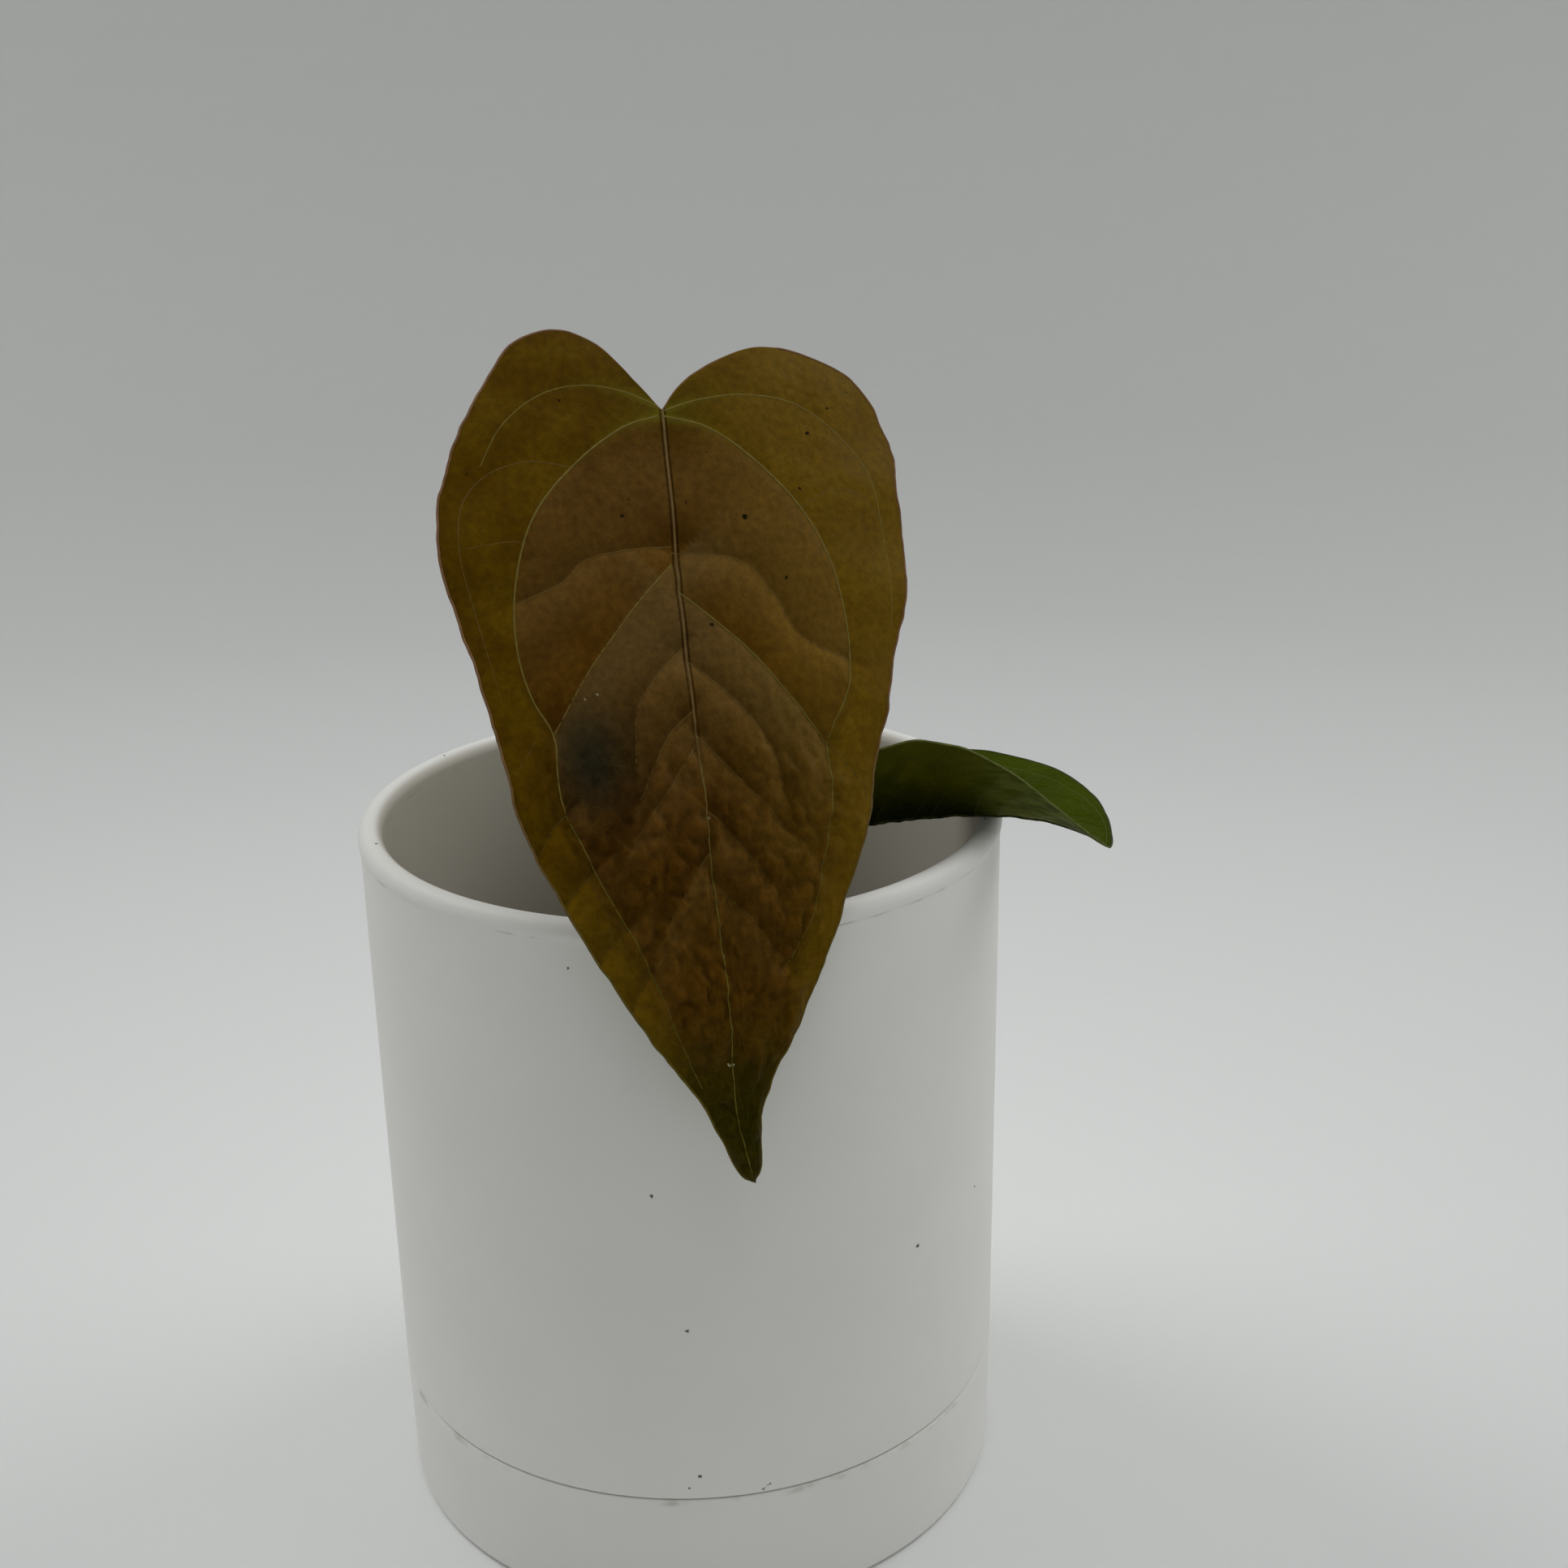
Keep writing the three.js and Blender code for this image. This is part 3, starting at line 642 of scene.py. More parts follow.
def blade_mesh(name, blade, rows, columns, relief, fields, materials, ruffle):
    """The two faces of a blade and its thin margin. relief and fields are worked out on (s, t)."""
    thickness = 0.5
    s, t, reach, share = blade.grid(rows, columns)
    wave = ruffle * reach ** 3 * np.sin(math.pi * share) * np.sin(share * 57 + np.sign(t))
    normal = blade.normal(s, t)
    middle = blade.surface(s, t) + normal * (wave + relief(s, t, reach))[..., None]
    half = normal * (thickness / 2 * (1 - 0.5 * reach ** 6))[..., None]
    points = np.concatenate([(middle + half).reshape(-1, 3), (middle - half).reshape(-1, 3)])
    wide = s.shape[1]
    corner = (np.arange(rows)[:, None] * wide + np.arange(wide - 1)).ravel()
    upper = np.stack([corner, corner + wide, corner + wide + 1, corner + 1], 1)
    lower = upper[:, ::-1] + s.size
    rims = []
    for column in (0, wide - 1):
        edge = np.arange(rows) * wide + column
        rims.append(np.stack([edge, edge + wide, edge + wide + s.size, edge + s.size], 1))
    faces = np.concatenate([upper, lower, *rims]).tolist()
    worn = [0] * len(upper) + [1] * len(lower) + [0] * (len(faces) - 2 * len(upper))
    values = {key: np.tile(field.ravel(), 2) for key, field in fields(s, t, reach).items()}
    values["along"] = np.tile(s.ravel(), 2)
    values["across"] = np.tile(t.ravel(), 2)
    return make_mesh(name, points, faces, materials, worn, values)


def rib_tree():
    """Round ribs along a mesh's edges, sunk until only a share of their radius stands proud.

    Each point of the mesh carries its rib's radius, and the way out of the skin that it lies on."""
    tree, given = start_tree("Raised ribs", "Ribs", lines="Geometry", proud="Float", sides="Int",
                             skin="Material")
    radius = add(tree, "GeometryNodeInputNamedAttribute", {"Name": "radius"})
    outward = add(tree, "GeometryNodeInputNamedAttribute", {"Name": "outward"}, data_type="FLOAT_VECTOR")
    above = add(tree, "ShaderNodeMath", {0: given["Proud"], 1: 1.0}, operation="SUBTRACT")
    lift = add(tree, "ShaderNodeMath", {0: above, 1: radius}, operation="MULTIPLY")
    offset = add(tree, "ShaderNodeVectorMath", {0: outward, "Scale": lift}, operation="SCALE")
    laid = add(tree, "GeometryNodeSetPosition", {"Geometry": given["Lines"], "Offset": offset})
    line = add(tree, "GeometryNodeMeshToCurve", {"Mesh": laid})
    section = add(tree, "GeometryNodeCurvePrimitiveCircle", {"Resolution": given["Sides"], "Radius": 1.0})
    ribs = add(tree, "GeometryNodeCurveToMesh",
               {"Curve": line, "Profile Curve": section, "Scale": radius, "Fill Caps": True})
    smooth = add(tree, "GeometryNodeSetShadeSmooth", {"Geometry": ribs})
    return end_tree(tree, smooth, given["Skin"])


RIB_TREE = rib_tree()


def make_ribs(name, blade, body, lines, face, proud, skin, widen=1.0, sides=8):
    """Ribs for lines of (s, t) points, each with the radius at its two ends. face is 1 above, -1 below."""
    corners = [polygon.vertices for polygon in body.data.polygons]
    skin_faces = BVHTree.FromPolygons([v.co for v in body.data.vertices], corners)
    far = REACH_ABOVE * MM
    points, outward, radii, edges = [], [], [], []
    for line, thick, thin in lines:
        s, t = line[:, 0], line[:, 1]
        out = blade.normal(s, t) * face
        edges += [(len(radii) + i, len(radii) + i + 1) for i in range(len(line) - 1)]
        for place, way in zip(blade.surface(s, t) * MM, out):
            hit = skin_faces.ray_cast(Vector(place + way * far), Vector(-way), 2 * far)[0]
            points.append(np.array(hit or skin_faces.find_nearest(Vector(place))[0]) / MM)
        outward += list(out)
        radii += list(np.linspace(thick, thin, len(line)) * widen * MM)
    veins = make_mesh(name + "_lines", points, [], [], edges=edges, values={"radius": radii})
    ways = veins.data.attributes.new("outward", "FLOAT_VECTOR", "POINT")
    ways.data.foreach_set("vector", np.ravel(outward))
    build_on(veins, RIB_TREE, proud=proud, sides=sides, skin=skin)
    declare(evaluated(veins, name), body.name.removesuffix("_blade"))


def vein(points, thick, thin):
    """A smooth vein through a few (s, t) points, with a point about every half millimetre."""
    length = sum(math.dist(a, b) for a, b in zip(points, points[1:]))
    return smooth_line(points, max(6, int(2 * length))), thick, thin


# ---- the new leaf -------------------------------------------------------------------------------

NEW_OUTLINES = {
    "left": [
        (0, 0), (-6, 4.4), (-13.2, 10.5), (-15.6, 17), (-12.5, 25), (-4.5, 31), (5, 36.4), (15, 40.3),
        (26, 41.3), (40, 38.7), (57, 35.3), (70, 33.2), (82, 28.6), (96, 21.6), (109, 14.3), (119, 7.6),
        (127, 4), (131.5, 2.2), (133.9, 0.6), (134.5, -0.9),
    ],
    "right": [
        (0, 0), (-5, 3.9), (-10, 11), (-13.6, 20), (-13, 29.5), (-8.4, 38), (-1, 42.2), (5.5, 43.8),
        (14, 42.9), (24, 42.9), (36, 40.8), (51, 35.4), (65, 30.6), (79, 26), (95, 18.3), (108, 11.4),
        (116, 6.4), (122, 3.6), (128, 2.9), (132, 2.8), (133.9, 2.1), (134.5, 0.9),
    ],
}


def new_sway(share):
    """The new leaf's midrib bows a little to the left, once in all and once near the tip."""
    return 1.2 * share ** 20 - 2 * np.sin(math.pi * share) - 0.8 * np.exp(-((share - 0.9) / 0.08) ** 2)


NEW_BLADE = Blade(
    base=np.array([-1, -26, RIM + 81]),
    length=134.5,
    heading=(11, 11, 11),
    pitch=(38, 22.5, 7),
    roll=(-8, -7, -6),
    crease=(0.08, 0.08, 0.08),
    right_crease=1,
    droop=0.0035,
    sway=new_sway,
    outlines=NEW_OUTLINES,
    ripple=0.36,
)

# The inner collective veins part the grey middle panel from the olive strips along the margins.
NEW_COLLECTIVES = [
    vein([(1, -1), (3, -7), (11, -18), (20, -25.6), (31, -29.6), (42, -30.6), (50, -29), (56.2, -26.2),
          (62, -26.4), (68, -26), (73, -24.2), (82, -20.6), (90, -16.8), (97, -14), (109, -10),
          (117, -7)], 0.26, 0.12),
    vein([(1, 0), (3, 7.5), (10, 16), (18, 22.5), (27, 26.5), (40.5, 28.3), (51, 27), (60.5, 22), (70, 21),
          (78, 19), (91, 14.6), (98.5, 9.3)], 0.26, 0.12),
]
# The strong laterals leave the midrib and run down to the collective veins.
NEW_LATERALS = [
    vein([(28, -2), (35, -9.3), (40, -13.8), (46, -19), (56, -26)], 0.22, 0.14),
    vein([(33, -1.5), (39, 4.7), (44.4, 10), (51, 15), (61, 21.6)], 0.22, 0.14),
]
# Weaker laterals, which the blade puckers along.
NEW_PUCKERED = [vein(points, 0.15, 0.1) for points in (
    [(43, -2.3), (47, -7), (53, -11.6), (62, -13)],
    [(45, -2), (52.6, 5.6), (60.7, 10.6), (68, 12)],
    [(54, -2.2), (58, -7), (68, -13)],
    [(58, -2), (66, 4.6), (75.5, 12)],
    [(59, -1.8), (65, -6.6), (74, -14.3)],
    [(71, -1.7), (75.5, 2.3), (84, 8)],
    [(77.5, -1.8), (83.5, -6.8), (89, -10.5)],
    [(84, -1), (88.9, 3.4), (98, 9.5)],
)]
# The faint first laterals, which hardly pucker it.
NEW_FAINT = [vein(points, 0.14, 0.1) for points in (
    [(25, -2), (26, -12), (27.6, -18), (30.7, -21.5), (34, -29.5)],
    [(26, -2), (28.5, 10.3), (34, 15), (42, 19), (46.7, 27.5)],
)]
NEW_WEAK = [*NEW_PUCKERED, *NEW_FAINT]
# Short veins that cross the left strip, from the collective vein to the margin.
NEW_STRIPS = [vein(points, 0.1, 0.07) for points in (
    [(68.5, -24.6), (71, -27.7), (76, -31)],
    [(79, -22), (82.2, -25.9), (88, -29)],
    [(89, -17.6), (92.3, -21.3), (97, -23.5)],
    [(96.5, -14.2), (99.9, -16.9), (105, -18.5)],
)]
# The basal veins run round the lobes, and the outer collective veins carry them down the sides.
NEW_BASALS = [
    vein([(0, 0), (-1, -1), (-4, -8.4), (-4.5, -15.5), (-2.5, -22), (3, -28.7), (10, -33)], 0.2, 0.1),
    vein([(10.7, -17.5), (9.5, -25), (11.5, -32), (16, -36.4), (24, -38), (36, -36.5), (50, -34)],
         0.14, 0.08),
    vein([(0, 0), (-2.3, 7), (-3.5, 15.5), (-2.5, 24), (1.5, 30.6), (8, 36.2), (17, 38.4), (28.5, 38.6),
          (41, 37.2)], 0.2, 0.08),
    vein([(23.5, -27.8), (23.8, -33), (24.5, -38)], 0.1, 0.07),
    vein([(18.5, 22.8), (15, 29), (15.5, 35), (20, 38.6)], 0.12, 0.08),
    vein([(57, -29.3), (62, -33)], 0.1, 0.07),
    vein([(61, 22), (70, 28)], 0.1, 0.07),
]


def midrib(blade, start, end, thick, thin):
    """A rib down the middle of a blade, with a point about every half millimetre."""
    s = np.linspace(start, end, int(2 * (end - start)))
    return np.stack([s, blade.sway(s)], 1), thick, thin


NEW_MIDRIB = midrib(NEW_BLADE, 0, 133, 0.24, 0.12)


def grooved(s, t, groups):
    """The depth at each (s, t) of the creases along groups of veins. Each group has a depth and a width."""
    depth = np.zeros(s.shape)
    for veins, deep, wide in groups:
        spots = np.vstack([line for line, _, _ in veins])
        for row in range(len(s)):
            squares = (s[row][:, None] - spots[:, 0]) ** 2 + (t[row][:, None] - spots[:, 1]) ** 2
            depth[row] += deep * np.exp(-np.sqrt(squares.min(1)) / wide)
    return depth


def blistered(s, t, size, seed):
    """Puffed cells of a size in millimetres with sharp valleys between them, from 0 to about 1."""
    flat = np.stack([s, t, 0 * s], -1)
    along, across = rough(flat, size * 0.7, seed + 2), rough(flat, size * 0.7, seed + 3)
    bent = flat + 0.22 * size * np.stack([along, across, np.zeros(s.size)], -1).reshape(flat.shape)
    coarse = np.abs(rough(bent, size, seed)).reshape(s.shape)
    return coarse * 1.8 + 0.9 * np.abs(rough(bent, size * 0.42, seed + 1)).reshape(s.shape)


def lower_half(s):
    """0 in the new leaf's smooth upper half, 1 in its blistered lower half."""
    return smoothstep(44, 76, s)


def new_blisters(s, t):
    return blistered(s, t, 3.6, 41)


def new_relief(s, t, reach):
    """The upper half is nearly smooth between its creases, and the lower half is blistered."""
    deep = grooved(s, t, [([NEW_MIDRIB], 0.35, 1.6), (NEW_COLLECTIVES, 0.4, 1.8), (NEW_LATERALS, 0.4, 1.2),
                          (NEW_LATERALS, 1.1, 6), (NEW_PUCKERED, 0.6, 3), (NEW_FAINT, 0.3, 2.6),
                          (NEW_STRIPS, 0.4, 2.4), (NEW_BASALS, 0.22, 2)])
    flat = np.stack([s, t, 0 * s], -1)
    broad = 0.35 * rough(flat, 13, 40).reshape(s.shape)
    cells = new_blisters(s, t) * (0.1 + 0.9 * lower_half(s))
    cells += blistered(s, t, 8, 45) * 0.7 * lower_half(s)
    at_margin = 1 - 0.8 * reach ** 8
    at_petiole = 1 - np.exp(-(s * s + t * t) / 40)
    return (broad + cells - deep) * at_margin * at_petiole


def below_line(s, t, line):
    """The distance from a lateral, and how far it is to the side of it that faces the tip."""
    gap, side = nearest(s, t, line)
    return gap, side * (-1 if line[-1, 1] > 0 else 1)


def new_fields(s, t, reach):
    """Where each tone of the new leaf lies, from 0 to 1.

    panel   the middle of the blade, inside the collective veins
    sheen  painted highlight on the panel, strongest just below the laterals; painted shade above them
    patch  a dark blue-grey painted reflection on a bulge by the left collective vein
    deep    the darker lower half of the panel
    green   the tip, and a little round the petiole
    glow    the pale junction of the veins at the petiole
    light   painted highlight that lightens the right half, and the yellower strips beside the lower panel
    puff    the blisters: valleys painted darker and tops lighter, partly pigment, partly painted shade and highlight
    facet   from -1 to 1: the lit and the shaded side of each pucker
    beside  millimetres from the midrib
    """
    west, east = [np.interp(s, *line[line[:, 0].argsort()].T) for line, _, _ in NEW_COLLECTIVES]
    inside = np.minimum(t - west, east - t)
    panel = smoothstep(-0.3, 0.5, inside) * smoothstep(0, 3, s) * (1 - smoothstep(100, 122, s))
    # Painted highlight on the upper panel and just below each strong lateral, and painted shade just above
    # it.
    sheen = 0.5 * smoothstep(2, 12, s) * (1 - smoothstep(40, 66, s))
    for line, _, _ in NEW_LATERALS:
        gap, below = below_line(s, t, line)
        sheen = sheen + smoothstep(-0.2, 0.5, below) * np.exp(-(gap / 8) ** 2)
        sheen = sheen - 0.45 * smoothstep(0.2, -0.5, below) * np.exp(-(gap / 8) ** 2)
    facet = np.zeros(s.shape)
    for line, _, _ in (*NEW_WEAK, *NEW_STRIPS):
        gap, below = below_line(s, t, line)
        facet = facet + np.clip(below / 0.4, -1, 1) * np.exp(-gap / 3.2)
        sheen = sheen + 0.3 * smoothstep(-0.2, 0.5, below) * np.exp(-(gap / 5) ** 2)
    # Painted reflection, dark blue-grey, on the bulge below the left strong lateral.
    _, side = nearest(s, t, NEW_LATERALS[0][0])
    patch = np.exp(-((s - 61) / 9) ** 2 - ((t + 20.5) / 6.5) ** 2) * smoothstep(-0.2, 0.6, side)
    rays = [([*NEW_COLLECTIVES, NEW_BASALS[0], NEW_BASALS[2]], 1, 1)]
    from_rays = -np.log(np.maximum(grooved(s, t, rays), 1e-6))
    # Painted highlight: the right half is lightened, for the window reflected in it.
    right = smoothstep(-4, 24, t) * (1 - smoothstep(75, 125, s))
    strips = 0.5 * smoothstep(72, 92, s) * (1 - smoothstep(104, 118, s)) * (1 - 0.5 * panel)
    petiole = 0.35 * np.exp(-((s + 2) ** 2 + t ** 2) / 120)
    return {
        "panel": panel,
        "sheen": np.clip(sheen, 0, 1.3) * panel,
        "patch": patch * panel,
        "deep": smoothstep(50, 88, s) * panel,
        "green": np.clip(smoothstep(98, 124, s) + petiole, 0, 1),
        "glow": np.exp(-from_rays / 0.8) * np.exp(-np.hypot(s, t) / 8),
        "light": np.maximum(right, strips),
        "puff": new_blisters(s, t) * lower_half(s) * smoothstep(-2.5, 0.5, inside),
        "facet": np.clip(facet, -1, 1),
        "beside": t - NEW_BLADE.sway(s),
    }


def zone(tree, name, strength=1.0):
    """How much of a tone there is at each place on a blade, from a number that its mesh carries."""
    there = add(tree, "ShaderNodeAttribute", attribute_name=name).outputs["Fac"]
    return add(tree, "ShaderNodeMath", {0: there, 1: strength}, operation="MULTIPLY")


def start_blade_material(name):
    """A material whose patterns follow the blade, in millimetres along and across it."""
    material, tree, _ = start_material(name)
    place = add(tree, "ShaderNodeCombineXYZ", {0: zone(tree, "along"), 1: zone(tree, "across")})
    return material, tree, place


def netted(tree, place, cell):
    """The net of the finest veins, with cells of a size in millimetres: 1 on the veins, 0 between.

    The real cells are about 1 mm across. They are drawn twice as coarse, so that they show."""
    shake = add(tree, "ShaderNodeTexNoise", {"Vector": place, "Scale": 0.5 / cell, "Detail": 2.0})
    bent = add(tree, "ShaderNodeMix", {0: 0.55, 6: place, 7: shake.outputs["Color"]}, data_type="RGBA",
               blend_type="ADD")
    edges = add(tree, "ShaderNodeTexVoronoi", {"Vector": bent, "Scale": 1 / cell},
                feature="DISTANCE_TO_EDGE", voronoi_dimensions="2D")
    return add(tree, "ShaderNodeMapRange", {0: edges, 1: 0.0, 2: 0.1, 3: 1.0, 4: 0.0}, **SOFT)


# Small blemishes on the new leaf: [along, across, size].
NEW_SPECKS = [
    (20.3, 11.8, 0.7), (3.8, 26.6, 0.5), (31.6, 17.8, 0.35), (19.8, -10.1, 0.4), (11.1, -35.3, 0.35),
    (-1.6, 31.4, 0.3), (-5.5, 36.1, 0.3), (14.8, 23, 0.4), (17.4, 1.7, 0.3), (8, 6.8, 0.3),
    (-1.7, -18.1, 0.3), (39.2, 3.4, 0.5), (20.2, 9.2, 0.25), (16.9, -8.6, 0.25),
]
# Pale grit that lies on it.
NEW_DUST = [
    (50.6, -20.4, 0.25), (50.1, -18.2, 0.28), (72, -1.9, 0.25), (95.2, -1.4, 0.25), (113.7, -1.9, 0.35),
    (113.7, -1.4, 0.3), (64, -1.9, 0.22),
]


def new_upper_material():
    """A young anthurium blade, still bronze with anthocyanin over the green: a waxy satin skin that is
    greyed in the middle panel by a painted highlight, yellower in the strips along the margin and
    darkest near the tip."""
    material, tree, place = start_blade_material("Bronze new leaf, upper skin")
    broad = add(tree, "ShaderNodeTexNoise", {"Vector": place, "Scale": 1 / 9, "Detail": 3.0})
    small = add(tree, "ShaderNodeTexNoise",
                {"Vector": place, "Scale": 1 / 1.5, "Detail": 7.0, "Roughness": 0.65})
    puff = zone(tree, "puff")
    # Painted shade: a dark line on each side of the midrib, in the lower half, where the blade dips beside
    # it.
    painted_groove_shade = close_to(tree, add(tree, "ShaderNodeMath", {0: zone(tree, "beside")}, operation="ABSOLUTE"),
                      0.46, 0.06, 0.28, 0.8)
    low_end = add(tree, "ShaderNodeMapRange", {0: zone(tree, "along"), 1: 46.0, 2: 66.0, 3: 1.0, 4: 0.0},
                  **SOFT)
    colour = coated(
        tree, two_toned(tree, broad, 0.38, 0.62, "#533a02", "#5d4404"),
        (zone(tree, "panel"), two_toned(tree, broad, 0.4, 0.6, "#513305", "#5a3b0c")),
        (zone(tree, "deep"), "#492d04"),
        # The blisters' valleys are painted darker and their tops lighter: partly their pigment, partly
        # painted shade and painted highlight.
        (add(tree, "ShaderNodeMapRange", {0: puff, 1: 0.0, 2: 0.1, 3: 0.0, 4: 0.4}, **SOFT), "#321c02"),
        (add(tree, "ShaderNodeMapRange", {0: puff, 1: 0.25, 2: 0.95, 3: 0.0, 4: 0.5}, **SOFT), "#5c390a"),
        # Painted highlight: a greyish veil over the panel, strongest just below the laterals.
        (zone(tree, "sheen", 0.45), "#6b552f"),
        # Painted reflection, dark blue-grey, by the left collective vein.
        (zone(tree, "patch", 0.9), "#24241a"),
        (zone(tree, "green", 0.8), "#262900"),
        (zone(tree, "glow", 0.75), "#75761f"),
        # Painted highlight on the right half, and the strips' own yellower tone.
        (zone(tree, "light", 0.3), "#80641c"),
        # Painted shade beside the midrib, in the lower half.
        (add(tree, "ShaderNodeMath", {0: painted_groove_shade, 1: low_end}, operation="MULTIPLY"), "#291502"),
    )
    mottle = add(tree, "ShaderNodeMapRange", {0: small, 1: 0.3, 2: 0.7, 3: 0.8, 4: 1.18}, **SOFT)
    facets = add(tree, "ShaderNodeMath", {0: zone(tree, "facet", 0.32), 1: 1.0}, operation="ADD")
    shade = add(tree, "ShaderNodeMath", {0: mottle, 1: facets}, operation="MULTIPLY")
    colour = add(tree, "ShaderNodeVectorMath", {0: colour, "Scale": shade}, operation="SCALE")
    faint = add(tree, "ShaderNodeMapRange", {0: broad, 1: 0.4, 2: 0.62, 3: 0.01, 4: 0.08}, **SOFT)
    net = add(tree, "ShaderNodeMath", {0: netted(tree, place, 2.3), 1: faint}, operation="MULTIPLY")
    colour = coated(tree, colour, (net, "#7a6c12"))
    ragged = shaken(tree, place, 0.4, 1.0)
    for marks, tone in ((NEW_SPECKS, "#120d04"), (NEW_DUST, "#b0a88a")):
        flat = [(along, across, 0, size) for along, across, size in marks]
        colour = coated(tree, colour, (spotted(tree, ragged, flat), tone))
    sunk = add(tree, "ShaderNodeMath", {0: net, 1: 1.5}, operation="MULTIPLY")
    height = add(tree, "ShaderNodeMath", {0: small, 1: sunk}, operation="SUBTRACT")
    satin = add(tree, "ShaderNodeMapRange", {0: small, 1: 0.3, 2: 0.7, 3: 0.42, 4: 0.55}, **SOFT)
    end_material(tree, colour, satin, height, 0.09, IOR=1.42, Specular_IOR_Level=0.07,
                 Specular_Tint="#e6cf8a")
    return material


def new_under_material():
    """The same blade's underside: paler, matte and flushed with red between the raised veins."""
    material, tree, place = start_blade_material("Bronze new leaf, underside")
    broad = add(tree, "ShaderNodeTexNoise", {"Vector": place, "Scale": 1 / 8, "Detail": 3.0})
    net = netted(tree, place, 2.4)
    faint = add(tree, "ShaderNodeMapRange", {0: broad, 1: 0.35, 2: 0.65, 3: 0.04, 4: 0.16}, **SOFT)
    colour = coated(
        tree, two_toned(tree, broad, 0.35, 0.65, "#6f5a2a", "#7c6a35"),
        (zone(tree, "green", 0.5), "#66702b"),
        (add(tree, "ShaderNodeMath", {0: net, 1: faint}, operation="MULTIPLY"), "#9a9558"),
    )
    end_material(tree, colour, 0.62, net, 0.05, IOR=1.4, Specular_IOR_Level=0.25)
    return material


def new_vein_material(name, base, tip):
    """A raised vein with little bronze in it. It is redder at the petiole and greener at the tip."""
    material, tree, place = start_material(name)
    height = add(tree, "ShaderNodeSeparateXYZ", {0: place}).outputs["Z"]
    low, high = (RIM - 10) * MM, (RIM + 50) * MM
    down = add(tree, "ShaderNodeMapRange", {0: height, 1: low, 2: high, 3: 1.0, 4: 0.0}, **SOFT)
    small = add(tree, "ShaderNodeTexNoise", {"Vector": place, "Scale": 1 / (1.2 * MM), "Detail": 2.0})
    mottle = add(tree, "ShaderNodeMapRange", {0: small, 1: 0.3, 2: 0.7, 3: 0.85, 4: 1.12}, **SOFT)
    colour = coated(tree, base, (down, tip))
    colour = add(tree, "ShaderNodeVectorMath", {0: colour, "Scale": mottle}, operation="SCALE")
    end_material(tree, colour, 0.5, small, 0.02, IOR=1.42, Specular_IOR_Level=0.2)
    return material


def margin_lines(blade, inset=0.12):
    """The cartilage edge of a blade, as one line down each side."""
    lines = []
    for side, sign in (("left", -1), ("right", 1)):
        edge = blade.margin(side, 251)
        lines.append((np.stack([edge[:, 0], sign * (edge[:, 1] - inset)], 1), 0.24, 0.24))
    return lines


def make_new_leaf():
    upper, under = new_upper_material(), new_under_material()
    body = blade_mesh("leaf_new_blade", NEW_BLADE, 250, 60, new_relief, new_fields, [upper, under], 0.5)
    declare(body, "leaf_new", "leaf_new")
    strong = [*NEW_COLLECTIVES, *NEW_LATERALS, NEW_BASALS[0], NEW_BASALS[2]]
    weak = [*NEW_WEAK, *NEW_STRIPS, NEW_BASALS[1], *NEW_BASALS[3:]]
    # The strong veins hold hardly any pigment and stand out pale. The weak ones nearly match the skin.
    pale = new_vein_material("Pale leaf vein", "#75662a", "#5f5612")
    brown = new_vein_material("Bronze leaf vein", "#665020", "#53410c")
    # The midrib is flushed where it joins the petiole. The cartilage edge catches light as a thin line.
    rib = new_vein_material("Bronze midrib", "#745c34", "#6a611a")
    edge = new_vein_material("Blade margin", "#7d5c3e", "#5f5013")
    make_ribs("leaf_new_veins", NEW_BLADE, body, strong, 1, 0.5, pale, 0.9)
    make_ribs("leaf_new_weak_veins", NEW_BLADE, body, weak, 1, 0.4, brown, 0.9)
    make_ribs("leaf_new_midrib", NEW_BLADE, body, [NEW_MIDRIB], 1, 0.6, rib)
    # Underneath, the keel and veins are thick, pale and waxy.
    keel = new_vein_material("Leaf keel", "#8c7a46", "#8a8a48")
    keel_line = midrib(NEW_BLADE, 0, 131, 0.75, 0.25)
    make_ribs("leaf_new_under_veins", NEW_BLADE, body, [*strong, *weak], -1, 0.8, keel, 1.25)
    make_ribs("leaf_new_keel", NEW_BLADE, body, [keel_line], -1, 1.4, keel, 1, 12)
    make_ribs("leaf_new_margin", NEW_BLADE, body, margin_lines(NEW_BLADE), 1, 0.6, edge)


# ---- the old leaf -------------------------------------------------------------------------------

OLD_OUTLINES = {
    "left": [
        (0, 0), (-7.5, 6.5), (-11, 13), (-8, 20), (0, 23.9), (8, 25.3), (18, 25.8), (29, 24.6), (39.6, 21.3),
        (50.4, 16.1), (59, 10.2), (64.8, 5.4), (68.4, 2.6), (71.6, 0.9), (72.3, 0),
    ],
    "right": [
        (0, 0), (-7.5, 6.5), (-11, 13), (-8, 19.5), (0, 23.2), (7.2, 26.1), (18, 26.9), (29, 25.4),
        (39.6, 22.4), (50.4, 17.6), (59, 11.6), (64.8, 6.6), (68.6, 3.3), (71.4, 1), (72.3, 0),
    ],
}

OLD_BLADE = Blade(
    base=np.array([14.1, -14.9, RIM - 0.8]),
    length=72.3,
    heading=(91.7, 80, 25),
    pitch=(86, 95.3, 77.9),
    roll=(-12, -15.5, -11.5),
    crease=(0.31, 0.72, 0.63),
    right_crease=0.72,
    droop=0,
    sway=lambda share: 0 * share,
    outlines=OLD_OUTLINES,
    ripple=0.15,
)


